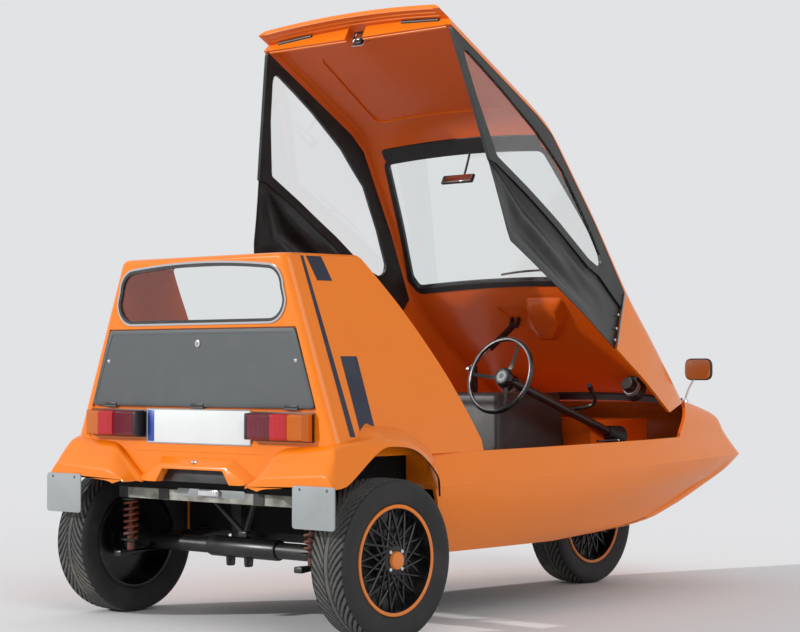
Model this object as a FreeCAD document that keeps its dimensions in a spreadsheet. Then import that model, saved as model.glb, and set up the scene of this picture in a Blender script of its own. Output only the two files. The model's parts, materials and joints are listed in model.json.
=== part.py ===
import FreeCAD, Part
import math
import os
import Sketcher
from FreeCAD import Placement, Rotation, Vector

# A three-wheeled microcar: one steered wheel in front, two behind, and a canopy that tilts forward.
# Lengths are millimetres.  X points to the car's right, Y forward and Z up from the ground.
# Heights count from the ground and lengths ("y" values) forward from the rear axle.

doc = FreeCAD.newDocument("microcar")
sheet = doc.addObject("Spreadsheet::Sheet", "Sizes")

# Driving dimensions: name, value
SIZES = (
    ("overall_length", 2794),
    ("rear_overhang", 306),
    ("wheelbase", 1956),
    ("wheel_height", 266),
    ("tyre_radius", 266),
    ("tyre_width", 154),
    ("tyre_bead_radius", 176),
    ("tyre_wheel_offset", 637),
    ("rim_lip_radius", 181),
    ("rim_lip_width", 9),
    ("rim_well_radius", 168),
    ("rim_bead_gap", 0.3),
    ("spoke_width", 7),
    ("spoke_depth", 14),
    ("spoke_count", 16),
    ("spoke_lean", 20),
    ("spoke_length", 131),
    ("hub_radius", 52),
    ("hub_cap_radius", 30),
    ("hub_cap_height", 14),
    ("disc_depth", 40),
    ("axle_radius", 28.5),
    ("axle_sleeve_radius", 36),
    ("axle_sleeve_length", 340),
    ("hub_carrier_radius", 60),
    ("stub_radius", 14),
    ("stub_depth", 36),
    ("body_wall", 12),
    ("rear_end_y", 230),
    ("sill_inner_half", 540),
    ("arch_y", -15),
    ("arch_z", 340),
    ("arch_radius", 295),
    ("rail_half", 237),
    ("rail_width", 50),
    ("rail_height", 38),
    ("rail_bottom", 262),
    ("floor_height", 300.3),
    ("moulding_wall", 8),
    ("tray_height", 470),
    ("tail_rear_y", -228),
    ("tail_base_half", 654),
    ("tail_top_half", 414),
    ("tail_top_z", 1272),
    ("tail_wall", 14),
    ("hinge_y", 2050),
    ("hinge_z", 770),
    ("canopy_open_angle", 28),
    ("canopy_wall", 14),
    ("canopy_gap", 8),
    ("lid_bottom_z", 758),
    ("lid_top_z", 1023),
    ("lid_bottom_half", 554),
    ("lid_top_half", 460),
    ("lid_thickness", 9),
    ("lid_gap", 6),
    ("lid_recess", 8),
    ("lid_rebate", 14),
    ("window_bottom_z", 1047),
    ("window_top_z", 1245),
    ("window_half", 412),
    ("window_corner", 70),
    ("glass_thickness", 4),
    ("trim_width", 10),
    ("plate_width", 520),
    ("plate_height", 120),
    ("plate_thickness", 4),
    ("plate_z", 691),
    ("lamp_inner_x", 268),
    ("lamp_outer_x", 547),
    ("lamp_bottom_z", 651),
    ("lamp_top_z", 745),
    ("lamp_depth", 50),
    ("flap_inner_x", 526),
    ("flap_outer_x", 714),
    ("flap_bottom_z", 377),
    ("flap_top_z", 515),
    ("flap_thickness", 5),
    ("steering_wheel_radius", 146),
    ("steering_wheel_grip", 7),
    ("column_x", 300),
    ("column_top_y", 1040),
    ("column_top_z", 868),
    ("column_bottom_y", 1777),
    ("column_bottom_z", 628),
    ("column_radius", 17),
    ("fork_leg_x", 84),
    ("fork_leg_thickness", 12),
    ("fork_leg_depth", 46),
    ("fork_crown_z", 546),
    ("fork_crown_height", 30),
    ("stem_radius", 16),
    ("head_radius", 27),
    ("head_top_z", 640),
    ("running_gap", 0.05),
    ("seat_gap", 0.3),
    ("strut_barrel_radius", 14),
    ("strut_rod_radius", 6),
)

for number, (name, value) in enumerate(SIZES, 1):
    sheet.set(f"A{number}", name)
    sheet.set(f"B{number}", str(value))
    sheet.setAlias(f"B{number}", name)
doc.recompute()


def size(name):
    """A driving dimension, read from the sheet."""
    return float(sheet.get(name))


ORIGIN_Y = size("rear_overhang") - size("overall_length") / 2
NOSE_Y = size("overall_length") - size("rear_overhang")
BODY_PLACE = Placement(Vector(0, ORIGIN_Y, 0), Rotation())

# The canopy is drawn closed and tilted about its hinge line.
HINGE = Vector(0, size("hinge_y"), size("hinge_z"))
CANOPY_TILT = Placement(Vector(), Rotation(Vector(1, 0, 0), -size("canopy_open_angle")), HINGE)
CANOPY_PLACE = BODY_PLACE.multiply(CANOPY_TILT)

pieces = []


def keep(label, shape, place=BODY_PLACE):
    """Add a sub-part whose shape is worked out here."""
    piece = doc.addObject("Part::Feature", label)
    piece.Label = label
    piece.Shape = shape
    piece.Placement = place
    pieces.append(piece)
    return piece


def keep_object(piece, label, place):
    """Add a sub-part that is an object of the document."""
    piece.Label = label
    piece.Placement = place
    pieces.append(piece)
    return piece


def polygon(points):
    """Closed wire of straight edges."""
    return Part.makePolygon(points + points[:1])


def arc_points(start, through, end, parts):
    """Points along a round arc, both ends included."""
    return Part.Arc(start, through, end).toShape().discretize(Number=parts + 1)


def prism_x(outline, low, high):
    """Solid between two X planes from an outline of (y, z) corners."""
    face = Part.Face(polygon([Vector(low, y, z) for y, z in outline]))
    return face.extrude(Vector(high - low, 0, 0))


def prism_z(outline, low, high):
    """Solid between two heights from an outline of (x, y) corners."""
    face = Part.Face(polygon([Vector(x, y, low) for x, y in outline]))
    return face.extrude(Vector(0, 0, high - low))


def prism_y(outline, low, high):
    """Solid between two Y planes from an outline of (x, z) corners."""
    face = Part.Face(polygon([Vector(x, low, z) for x, z in outline]))
    return face.extrude(Vector(0, high - low, 0))


def block(x0, x1, y0, y1, z0, z1):
    """Box between two corners."""
    return Part.makeBox(x1 - x0, y1 - y0, z1 - z0, Vector(x0, y0, z0))


def skinned(rings):
    """Solid through rings of corners, with flat faces between neighbouring rings."""
    faces = [Part.Face(polygon(rings[0])), Part.Face(polygon(rings[-1]))]
    for low, high in zip(rings, rings[1:]):
        for index in range(len(low)):
            a, b = low[index - 1], low[index]
            c, d = high[index], high[index - 1]
            bend = abs((b - a).cross(d - a).normalize().dot(c - a))
            if bend < 0.001:
                corners = [[a, b, c, d]]
            elif (a - c).Length < (b - d).Length:
                corners = [[a, b, c], [a, c, d]]
            else:
                corners = [[a, b, d], [b, c, d]]
            faces.extend(Part.Face(polygon(ring)) for ring in corners)
    solid = Part.Solid(Part.Shell(faces))
    if solid.Volume < 0:
        solid.reverse()
    return solid


def regular_prism(radius, low, high, sides):
    """Many-sided bar along X about the X axis."""
    ring = [Vector(low, radius * math.sin(2 * math.pi * k / sides), radius * math.cos(2 * math.pi * k / sides))
            for k in range(sides)]
    return Part.Face(polygon(ring)).extrude(Vector(high - low, 0, 0))


def rod(start, end, radius):
    """Round bar between two points."""
    run = end - start
    return Part.makeCylinder(radius, run.Length, start, run)


def ring_about(centre, ahead, radius, sides):
    """Corners of a regular ring round a point, square to a direction."""
    across = ahead.cross(Vector(0, 1, 0) if abs(ahead.y) < 0.9 * ahead.Length else Vector(1, 0, 0)).normalize()
    up = ahead.cross(across).normalize()
    turns = [2 * math.pi * (k + 0.5) / sides for k in range(sides)]
    return [centre + across * (radius * math.cos(turn)) + up * (radius * math.sin(turn)) for turn in turns]


def bar(start, end, radius, sides=12, end_radius=0):
    """Many-sided bar between two points, tapered where its end has a radius of its own."""
    run = end - start
    return skinned([ring_about(start, run, radius, sides), ring_about(end, run, end_radius or radius, sides)])


def bent_bar(points, radius, sides=8):
    """Many-sided bar through several points."""
    rings = []
    for index, point in enumerate(points):
        before = points[max(index - 1, 0)]
        after = points[min(index + 1, len(points) - 1)]
        rings.append(ring_about(point, after - before, radius, sides))
    return skinned(rings)


def mirrored(shape):
    """The same shape on the other side of the car."""
    return shape.mirror(Vector(), Vector(1, 0, 0))


def both_sides(shape):
    """A shape and its mirror image, as one compound of separate solids."""
    return Part.makeCompound([shape, mirrored(shape)])


def fused(first, *others):
    """One solid from several that meet."""
    return first.fuse(list(others)).removeSplitter()


# Hull levels, from the bottom up to the waist crease and on up the nose.
# rear_z and nose_z tilt the level; rear, mid, corner and front are half widths, each with its y.
HULL = (
    # rear_z nose_z  rear  mid  mid_y corner corner_y front front_y tip
    (262, 262, 590, 590, 600, 570, 1000, 450, 1092, 1110),
    (290, 300, 603, 600, 900, 555, 1500, 430, 1646, 1666),
    (330, 352, 618, 610, 1100, 520, 1790, 400, 1944, 1962),
    (385, 420, 637, 626, 1200, 485, 2070, 370, 2212, 2228),
    (440, 482, 653, 636, 1250, 490, 2260, 350, 2386, 2400),
    (493, 541, 661, 640, 1250, 505, 2370, 350, 2474, 2488),
)
SILL = (604, 628, 628, 614, 1250, 455, 2335, 320, 2428, 2440)
NOSE = (
    HULL[-1],
    SILL,
    (680, 694, 605, 600, 1250, 450, 2290, 300, 2377, 2388),
    (722, 735, 588, 590, 1250, 455, 2170, 300, 2252, 2263),
    (763, 773, 560, 565, 1250, 470, 1985, 330, 2062, 2072),
)


def level_height(level, y):
    """Height of a tilted level at a distance forward of the rear axle."""
    share = (y - size("rear_end_y")) / (NOSE_Y - size("rear_end_y"))
    return level[0] + (level[1] - level[0]) * share


def plan_outline(level, inset=0.0, raise_by=0.0):
    """Outline of one hull level: side arcs, corner arcs and a bowed front."""
    rear, mid, mid_y, corner, corner_y, front, front_y, tip = level[2:]
    stretch = NOSE_Y - HULL[-1][9]
    rear_y = size("rear_end_y") + inset

    def point(x, y):
        return Vector(x, y, level_height(level, y) + raise_by)

    bend = (0.25 * corner + 0.5 * corner + 0.25 * front, 0.25 * corner_y + 0.75 * front_y)
    right = [
        point(rear - inset, rear_y),
        point(mid - inset, mid_y),
        point(corner - inset, corner_y + stretch - inset),
        point(bend[0] - inset, bend[1] + stretch - inset),
        point(front - inset, front_y + stretch - inset),
    ]
    nose = point(0, tip + stretch - inset)
    across = Vector(-right[4].x, right[4].y, right[4].z)
    side = arc_points(right[0], right[1], right[2], 2)
    corner = arc_points(right[2], right[3], right[4], 3)
    bow = arc_points(right[4], nose, across, 4)
    half = side[:-1] + corner[:-1] + bow[:2]
    return half + [nose] + [Vector(-p.x, p.y, p.z) for p in reversed(half)]


def hull_form(levels, inset=0.0, bottom_raise=0.0, top_raise=0.0):
    """Solid lofted through the levels."""
    last = len(levels) - 1
    rings = []
    for index, level in enumerate(levels):
        lift = bottom_raise if index == 0 else top_raise if index == last else 0.0
        rings.append(plan_outline(level, inset, lift))
    return skinned(rings)


WALL = size("body_wall")
INNER = size("sill_inner_half")
REAR_END = size("rear_end_y")
FRONT_AXLE = size("wheelbase")


def arch_cutter(low, high):
    """Wheel arch opening through one side, round above and straight below."""
    centre_y = size("arch_y")
    centre_z = size("arch_z")
    radius = size("arch_radius")
    barrel = Part.makeCylinder(radius, high - low, Vector(low, centre_y, centre_z), Vector(1, 0, 0))
    below = block(low, high, centre_y - radius, centre_y + radius, centre_z - 300, centre_z)
    return barrel.fuse(below)


ARCHES = both_sides(arch_cutter(INNER + WALL, 900))

# Lower tub: a skirt round the floor, open beneath, cut away for the wheels
WHEEL_BAY_HALF = size("rail_half") - size("rail_width") / 2 + 2
tub = hull_form(HULL).cut(hull_form(HULL, WALL, WALL, 0.0))
tub = tub.cut(block(-INNER + 20, INNER - 20, REAR_END - 10, 1500, 200, 290))
tub = tub.cut(block(-300, 300, 1480, 2290, 200, 520))
tub = tub.cut(block(-INNER, INNER, REAR_END - 10, REAR_END + 60, 200, 600))
tub = tub.cut(ARCHES)
keep("lower_tub", tub)

# Upper body: sills and nose, one form cut along the cabin opening
upper_outer = hull_form(NOSE)
upper = upper_outer.cut(hull_form(NOSE, WALL, 0.0, -WALL))
CANOPY_FRONT = ((1895, level_height(SILL, 1895)), (size("hinge_y") + 8, size("hinge_z") + 6))
opening_side = [
    (0, level_height(SILL, 0)),
    CANOPY_FRONT[0],
    CANOPY_FRONT[1],
    (CANOPY_FRONT[1][0], 1000),
    (0, 1000),
]
upper = upper.cut(prism_x(opening_side, -900, 900))
CABIN_PLAN = [
    (-INNER, REAR_END + 20),
    (INNER, REAR_END + 20),
    (INNER, 1250),
    (505, 1640),
    (440, 1990),
    (430, CANOPY_FRONT[1][0]),
    (-430, CANOPY_FRONT[1][0]),
    (-440, 1990),
    (-505, 1640),
    (-INNER, 1250),
]
upper = upper.cut(prism_z(CABIN_PLAN, 400, 1000))
NOSE_SPLIT = 1640
HINGE_X = 380
KNUCKLE = 7
nose = upper.common(block(-900, 900, NOSE_SPLIT, 3000, 0, 1000))
nose_knuckle = rod(Vector(HINGE_X + 21, 0, 0) + HINGE, Vector(HINGE_X + 46, 0, 0) + HINGE, KNUCKLE)
nose_leaf = block(HINGE_X + 21, HINGE_X + 46, HINGE.y, HINGE.y + 36, HINGE.z - 14, HINGE.z - 2)
nose_pin = rod(Vector(HINGE_X - 4, 0, 0) + HINGE, Vector(HINGE_X + 30, 0, 0) + HINGE, 4)
nose_hinge = fused(nose_knuckle, nose_leaf, nose_pin)
nose = fused(nose, nose_hinge, mirrored(nose_hinge))
keep("nose_shell", nose)
SILL_BAND = (HULL[-1], SILL)
sills = hull_form(SILL_BAND).cut(hull_form(SILL_BAND, WALL, 0.0, -WALL))
sills = sills.cut(prism_z(CABIN_PLAN, 400, 1000)).cut(ARCHES)
sills = sills.cut(block(-INNER, INNER, REAR_END - 10, REAR_END + 60, 400, 700))
keep("sill_right", sills.common(block(0, 900, -500, NOSE_SPLIT, 0, 1000)))
keep("sill_left", sills.common(block(-900, 0, -500, NOSE_SPLIT, 0, 1000)))

# Tail: a tapered box with rounded edges, open towards the cabin along a slope
TAIL_REAR = size("tail_rear_y")
TAIL_TOP = size("tail_top_z")
TAIL_BASE_Z = 632
TAIL_FRONT = 620
TAIL_CORNER = 40
TAIL_FRONT_HALF = (628, 606)
TAIL_LEVELS = (
    # depth below the roof, drawn in by
    (TAIL_TOP - 560, 0),
    (16, 0),
    (9, 3),
    (3, 9),
    (0, 17),
)


def tail_half(z):
    """Half width of the tail's rear face at a height."""
    share = (TAIL_TOP - z) / (TAIL_TOP - TAIL_BASE_Z)
    return size("tail_top_half") + (size("tail_base_half") - size("tail_top_half")) * share


def tail_form(inset):
    """Tapered tail block with rounded rear corners and roof edges."""
    rings = []
    for depth, drawn_in in TAIL_LEVELS:
        z = TAIL_TOP - depth - inset
        share = (z - 560) / (TAIL_TOP - 560)
        rear = TAIL_REAR + inset + drawn_in
        half = tail_half(z) - inset - drawn_in
        front_half = TAIL_FRONT_HALF[0] + (TAIL_FRONT_HALF[1] - TAIL_FRONT_HALF[0]) * share - inset - drawn_in
        slant = TAIL_CORNER * (1 - math.sqrt(0.5))
        corner = arc_points(Vector(half - TAIL_CORNER, rear, z), Vector(half - slant, rear + slant, z),
                            Vector(half, rear + TAIL_CORNER, z), 3)
        right = corner + [Vector(front_half, TAIL_FRONT + inset, z)]
        rings.append(right + [Vector(-p.x, p.y, p.z) for p in reversed(right)])
    return skinned(rings)


opening_slope = [(60, 1400), (60, 1270), (193, 1103), (377, 858), (527, 644), (560, 500), (900, 500), (900, 1400)]
tail_outer = tail_form(0.0)
under_tail = [
    (-400, 400),
    (700, 400),
    (700, level_height(SILL, 700)),
    (REAR_END, level_height(SILL, REAR_END)),
    (-400, level_height(SILL, REAR_END)),
]


def lid_outline(gap):
    """Boot lid corners in the rear face, grown by a gap."""
    low = size("lid_bottom_z") - gap
    high = size("lid_top_z") + gap
    return [
        (-size("lid_bottom_half") - gap, low),
        (size("lid_bottom_half") + gap, low),
        (size("lid_top_half") + gap, high),
        (-size("lid_top_half") - gap, high),
    ]


def window_outline(gap):
    """Rear window outline: flat foot, round ends and a bowed top, in the plane Y = 0."""
    half = size("window_half") + gap
    low = size("window_bottom_z") - gap
    high = size("window_top_z") + gap
    corner = size("window_corner") + gap
    slant = 0.707 * corner
    foot = arc_points(Vector(half - corner, 0, low), Vector(half - corner + slant, 0, low + corner - slant),
                      Vector(half, 0, low + corner), 3)
    shoulder = arc_points(Vector(half - 12, 0, high - corner - 16),
                          Vector(half - 12 - corner + slant, 0, high - 16 - corner + slant),
                          Vector(half - 12 - corner, 0, high - 16), 3)
    bow = arc_points(Vector(half - 12 - corner, 0, high - 16), Vector(0, 0, high),
                     Vector(-half + 12 + corner, 0, high - 16), 6)
    right = foot + shoulder + bow[1:3]
    return right + [Vector(0, 0, high)] + [Vector(-p.x, 0, p.z) for p in reversed(right)]


def window_block(gap, low, high):
    """Solid through the rear window's outline between two Y planes."""
    face = Part.Face(polygon(window_outline(gap)))
    face.translate(Vector(0, low, 0))
    return face.extrude(Vector(0, high - low, 0))


tail = tail_outer
for cutter in (
    window_block(0.0, TAIL_REAR - 40, TAIL_REAR + 60),
    prism_y(lid_outline(size("lid_gap")), TAIL_REAR - 40, TAIL_REAR + size("lid_recess")),
    prism_y(lid_outline(-size("lid_rebate")), TAIL_REAR - 40, TAIL_REAR + 60),
    prism_x(opening_slope, -900, 900),
    prism_x(under_tail, -900, 900),
    tail_form(size("tail_wall")),
):
    tail = tail.cut(cutter)
keep("tail_shell", tail)

GLASS = size("glass_thickness")
TRIM = size("trim_width")
keep("rear_window", window_block(-0.3, TAIL_REAR + 2, TAIL_REAR + 2 + GLASS))
trim_ring = window_block(TRIM, TAIL_REAR - 4, TAIL_REAR - 0.3).cut(window_block(-TRIM, TAIL_REAR - 8, TAIL_REAR))
keep("window_trim", trim_ring)

lid = prism_y(lid_outline(0.0), TAIL_REAR + size("lid_recess") - size("lid_thickness") - 0.3,
              TAIL_REAR + size("lid_recess") - 0.3)
LID_AXIS = Vector(0, TAIL_REAR - 5, size("lid_bottom_z") - 2)
lid_knuckle = rod(Vector(435, 0, 0) + LID_AXIS, Vector(465, 0, 0) + LID_AXIS, 4)
lid_leaf = block(435, 465, LID_AXIS.y - 1, TAIL_REAR - 1, LID_AXIS.z, LID_AXIS.z + 16)
lid_hinge = fused(lid_knuckle, lid_leaf)
keep("boot_lid", fused(lid, lid_hinge, mirrored(lid_hinge)))

# Rear wings: flared shells round the arches; each row is one section's outer corners (x, z)
WING = (
    # y, inner, shoulder, edge, lip
    (-300.7, (330, 506), (380, 532), (672, 548), (706, 506)),
    (-262, (330, 566), (400, 592), (668, 606), (712, 512)),
    (-225, (330, 610), (430, 636), (655, 646), (714, 530)),
    (-95, (590, 704), (640, 692), (700, 652), (714, 622)),
    (-15, (590, 708), (640, 698), (703, 660), (714, 636)),
    (95, (590, 700), (640, 688), (698, 645), (713, 616)),
    (205, (590, 650), (638, 638), (686, 596), (704, 536)),
    (252, (590, 612), (636, 600), (668, 560), (676, 462)),
)
WING_WALL = 8


def wing_section(row):
    """Closed section of a wing: outer corners, then the same corners inset."""
    y = row[0]
    outer = [Vector(x, y, z) for x, z in row[1:]]
    inner = [Vector(x - WING_WALL, y, z - WING_WALL) for x, z in row[1:4]]
    lip = Vector(row[4][0] - WING_WALL, y, row[4][1])
    inner[0] = Vector(row[1][0], y, row[1][1] - WING_WALL)
    return outer + [lip] + inner[::-1]


wing = skinned([wing_section(row) for row in WING])
wing = wing.cut(tail_outer).cut(upper_outer).cut(hull_form(HULL))
wing_parts = sorted(wing.Solids, key=lambda solid: solid.Volume)
keep("rear_wings", both_sides(wing_parts[-1]))

# Valance between the wings: a hood with a sloping front over a dark recess
hood_outer = Part.makeLoft([
    polygon([Vector(-179, TAIL_REAR, 587), Vector(179, TAIL_REAR, 587), Vector(320, TAIL_REAR, 500),
             Vector(-320, TAIL_REAR, 500)]),
    polygon([Vector(-165, TAIL_REAR - 30, 556), Vector(165, TAIL_REAR - 30, 556),
             Vector(290, TAIL_REAR - 30, 500), Vector(-290, TAIL_REAR - 30, 500)]),
], True, True)
hood_recess = prism_y([(-150, 546), (150, 546), (205, 480), (-205, 480)], TAIL_REAR - 60, TAIL_REAR + 5)
apron = prism_y([(-329, 603.7), (329, 603.7), (329, 500), (-329, 500)], TAIL_REAR, TAIL_REAR + 10)
valance = fused(hood_outer, apron).cut(hood_recess)
valance = valance.cut(prism_y([(-150, 546), (150, 546), (205, 480), (-205, 480)], TAIL_REAR - 60, TAIL_REAR + 20))
keep("rear_valance", valance)

# Tail lamps, number plate, plate lamp panel and mudflaps
lamp = block(size("lamp_inner_x"), size("lamp_outer_x"), TAIL_REAR - size("lamp_depth"), TAIL_REAR - 0.3,
             size("lamp_bottom_z"), size("lamp_top_z"))
keep("tail_lamps", both_sides(lamp.makeChamfer(4, lamp.Edges)))

plate = doc.addObject("Part::Box", "number_plate")
plate.setExpression("Length", "Sizes.plate_width")
plate.setExpression("Width", "Sizes.plate_thickness")
plate.setExpression("Height", "Sizes.plate_height")
plate_corner = Vector(-size("plate_width") / 2, TAIL_REAR - size("plate_thickness") - 0.3,
                      size("plate_z") - size("plate_height") / 2)
keep_object(plate, "number_plate", BODY_PLACE.multiply(Placement(plate_corner, Rotation())))

panel = block(-170, 170, -169.3, -165.3, 448, 475)
panel_lamp = block(-50, 50, -185.3, -169.3, 452, 474)
keep("plate_lamp", fused(panel, panel_lamp))

flap = block(size("flap_inner_x"), size("flap_outer_x"), -size("rear_overhang"),
             -size("rear_overhang") + size("flap_thickness"), size("flap_bottom_z"), size("flap_top_z"))
flap_corners = [edge for edge in flap.Edges if edge.BoundBox.YLength > 1 and edge.BoundBox.ZMax < 400]
flap = flap.makeFillet(14, flap_corners)
keep("mudflaps", both_sides(flap))

# Chassis: two rails kicked up behind over the axle, with cross members
RAIL_IN = size("rail_half") - size("rail_width") / 2
RAIL_OUT = size("rail_half") + size("rail_width") / 2
RAIL_LOW = size("rail_bottom")
RAIL_TOP = RAIL_LOW + size("rail_height")
TRAY = size("tray_height")
rail_side = [
    (REAR_END - 50, RAIL_LOW),
    (1500, RAIL_LOW),
    (2010, 362),
    (2010, 362 + size("rail_height")),
    (1500, RAIL_TOP),
    (REAR_END - 0.3, RAIL_TOP),
    (REAR_END - 0.3, TRAY - 0.3),
    (-171.7, TRAY - 0.3),
    (-171.7, TRAY - 40),
    (REAR_END - 50, TRAY - 40),
]
rail = prism_x(rail_side, RAIL_IN, RAIL_OUT)
cross = [
    block(-RAIL_IN, RAIL_IN, 300, 340, RAIL_LOW, RAIL_TOP),
    block(-RAIL_IN, RAIL_IN, 1120, 1160, RAIL_LOW, RAIL_TOP),
    block(-480, 480, -165, -125, TRAY - 40, TRAY - 0.3),
]
keep("chassis_frame", fused(rail, mirrored(rail), *cross))

# Cabin moulding: floor, side walls, rear tray and the housing over the front wheel
SKIN = size("moulding_wall")
GAP = size("seat_gap")
FLOOR = size("floor_height")
HOUSE_HALF = RAIL_OUT + 8
HOUSE_TOP = 690
HOUSE_REAR = 1655
cabin_side = [(REAR_END, FLOOR), (1480, FLOOR), (1990, 480), (1990, 604), (REAR_END, 604)]
cabin_plan = [(-INNER, REAR_END), (INNER, REAR_END), (INNER, 1250), (505, 1640), (440, 1990),
              (-440, 1990), (-505, 1640), (-INNER, 1250)]
moulding = prism_x(cabin_side, -700, 700).common(prism_z(cabin_plan, 200, 700))
footwell_solid = prism_x([(1400, 200), (1400, FLOOR + SKIN), (1479, FLOOR + SKIN), (1982, 488.6), (1982, 200)], -300, 300)
inner_side = [(REAR_END + SKIN, FLOOR + SKIN), (1480, FLOOR + SKIN), (1990 - SKIN, 480 + SKIN),
              (1990 - SKIN, 700), (REAR_END + SKIN, 700)]
inner_plan = [(-INNER + SKIN, REAR_END), (INNER - SKIN, REAR_END), (INNER - SKIN, 1250),
              (505 - SKIN, 1640), (440 - SKIN, 1990), (-440 + SKIN, 1990), (-505 + SKIN, 1640),
              (-INNER + SKIN, 1250)]
moulding = moulding.cut(prism_x(inner_side, -700, 700).common(prism_z(inner_plan, 200, 800)))
tray_outer = block(-528, 528, -165, REAR_END, TRAY, 603.7)
tray_inner = block(-528 + SKIN, 528 - SKIN, -165 + SKIN, REAR_END + SKIN, TRAY + SKIN, 700)
house_outer = block(-HOUSE_HALF - SKIN, HOUSE_HALF + SKIN, HOUSE_REAR - SKIN, 2040, 290, HOUSE_TOP)
house_block = block(-HOUSE_HALF - SKIN - GAP, HOUSE_HALF + SKIN + GAP, 1600, 2100, 200, HOUSE_TOP + GAP)
house_inner = block(-HOUSE_HALF, HOUSE_HALF, HOUSE_REAR, 2100, 200, HOUSE_TOP - SKIN)
backrest = prism_x([(560, FLOOR + SKIN), (575, FLOOR + SKIN), (400, 830), (388, 826)], -INNER + 6, INNER - 6)
above_floor = prism_x([(0, FLOOR), (1480, FLOOR), (2000, 483.5), (2100, 483.5), (2100, 900), (0, 900)], -900, 900)
moulding = moulding.fuse([tray_outer.cut(tray_inner), house_outer.common(above_floor), backrest])
moulding = moulding.cut(tray_inner).cut(house_inner)
moulding = moulding.cut(block(-528 + SKIN, 528 - SKIN, REAR_END - 5, REAR_END + SKIN + 5, TRAY + SKIN, 700))
keep("cabin_moulding", moulding.removeSplitter())

# Seats, engine and its cover
seat_side = [(600, FLOOR + SKIN + GAP), (1060, FLOOR + SKIN + GAP), (1080, 420), (600, 400)]


def backrest_y(z):
    """Front face of the bulkhead behind the seats."""
    return 575 - 175 * (z - FLOOR - SKIN) / (830 - FLOOR - SKIN) + 0.4


back_side = [(backrest_y(425), 425), (640, 425), (500, 830), (backrest_y(815), 815)]
seat_solids = []
for side in (-1, 1):
    for outline in (seat_side, back_side):
        low, high = sorted((side * 40, side * 500))
        seat_solids.append(prism_x(outline, low, high))
keep("seat_cushions", Part.makeCompound(seat_solids))

cover_foot = [Vector(-190, 1170, FLOOR + SKIN), Vector(190, 1170, FLOOR + SKIN),
              Vector(190, 1644, FLOOR + SKIN), Vector(-190, 1644, FLOOR + SKIN)]
cover_top = [Vector(-165, 1190, 800), Vector(165, 1190, 800), Vector(165, 1600, 792), Vector(-165, 1600, 792)]


def inset_ring(ring, wall, lift):
    """A four-cornered ring drawn in by a wall and lifted."""
    signs = ((1, 1), (-1, 1), (-1, -1), (1, -1))
    return [p + Vector(sx * wall, sy * wall, lift) for p, (sx, sy) in zip(ring, signs)]


cover = skinned([cover_foot, cover_top])
cover_core = skinned([inset_ring(cover_foot, 10, 0), inset_ring(cover_top, 10, -10)])
keep("engine_cover", cover.cut(cover_core).cut(footwell_solid))
keep("engine_block", block(-140, 140, 1200, 1470, FLOOR + SKIN + GAP, 740))

# Steering column, boot and gear lever
SW_BOSS = 40
COLUMN_TOP = Vector(size("column_x"), size("column_top_y"), size("column_top_z"))
COLUMN_FOOT = Vector(size("column_x"), size("column_bottom_y"), size("column_bottom_z"))
COLUMN_RUN = COLUMN_FOOT - COLUMN_TOP
COLUMN_RUN.normalize()
column = bar(COLUMN_TOP + COLUMN_RUN * (SW_BOSS + GAP), COLUMN_FOOT, size("column_radius"))
boot = bar(COLUMN_FOOT - COLUMN_RUN * 20, COLUMN_FOOT + COLUMN_RUN * 40, 24, 12, 46)
foot_bracket = block(HOUSE_HALF + SKIN, 360, 1800, 1830, 560, 660)
keep("steering_column", fused(column, boot, foot_bracket).cut(house_block))

lever_points = [Vector(171, 1584.6, 733), Vector(235, 1610, 735), Vector(284, 1635, 742), Vector(312, 1636, 762),
                Vector(326, 1608, 788), Vector(338, 1570, 808)]
lever_knob = bar(Vector(337, 1573, 806), Vector(350, 1536, 831), 11)
lever = fused(bent_bar(lever_points, 8), lever_knob)
keep("gear_lever", lever)

# Steering wheel: drawn about its own axis, then laid on the column
SW_RADIUS = size("steering_wheel_radius")
GRIP = size("steering_wheel_grip")
grip = regular_prism(SW_RADIUS + GRIP, -GRIP * 0.8, GRIP * 0.8, 32).cut(regular_prism(SW_RADIUS - GRIP, -20, 20, 32))
grip.rotate(Vector(), Vector(0, 1, 0), 90)
boss = Part.makeCylinder(34, SW_BOSS + 6, Vector(0, 0, -6), Vector(0, 0, 1))
spokes = []
for turn in (90, 210, 330):
    spoke = Part.makeBox(SW_RADIUS - 20, 16, 4, Vector(20, -8, -2))
    spoke.rotate(Vector(), Vector(0, 0, 1), turn)
    spokes.append(spoke)
wheel_turn = Rotation(Vector(0, 0, 1), COLUMN_RUN)
steering_place = BODY_PLACE.multiply(Placement(COLUMN_TOP, wheel_turn))
keep("steering_wheel", fused(grip, boss, *spokes), steering_place)

# Rear axle with hub carriers, trailing arms, V link and springs
AXLE_Z = size("wheel_height")
RIM_BACK = size("tyre_wheel_offset") - 30
CARRIER_END = RIM_BACK - 6
axle = bar(Vector(-CARRIER_END + 10, 0, AXLE_Z), Vector(CARRIER_END - 10, 0, AXLE_Z), size("axle_radius"))
sleeve_half = size("axle_sleeve_length") / 2
sleeve = bar(Vector(-sleeve_half, 0, AXLE_Z), Vector(sleeve_half, 0, AXLE_Z), size("axle_sleeve_radius"))
carriers = []
for side in (-1, 1):
    carriers.append(bar(Vector(side * (CARRIER_END - 26), 0, AXLE_Z), Vector(side * CARRIER_END, 0, AXLE_Z),
                        size("hub_carrier_radius"), 16))
    stub_end = size("tyre_wheel_offset") + size("stub_depth") - GAP
    carriers.append(rod(Vector(side * (CARRIER_END - 5), 0, AXLE_Z), Vector(side * stub_end, 0, AXLE_Z),
                        size("stub_radius")))
    arm_outline = [(-200, AXLE_Z - 45), (40, AXLE_Z - 20), (330, 262), (330, 300), (40, AXLE_Z + 30),
                   (-60, AXLE_Z - 24), (-200, AXLE_Z - 24)]
    low, high = sorted((side * 430, side * 468))
    carriers.append(prism_x(arm_outline, low, high))
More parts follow.
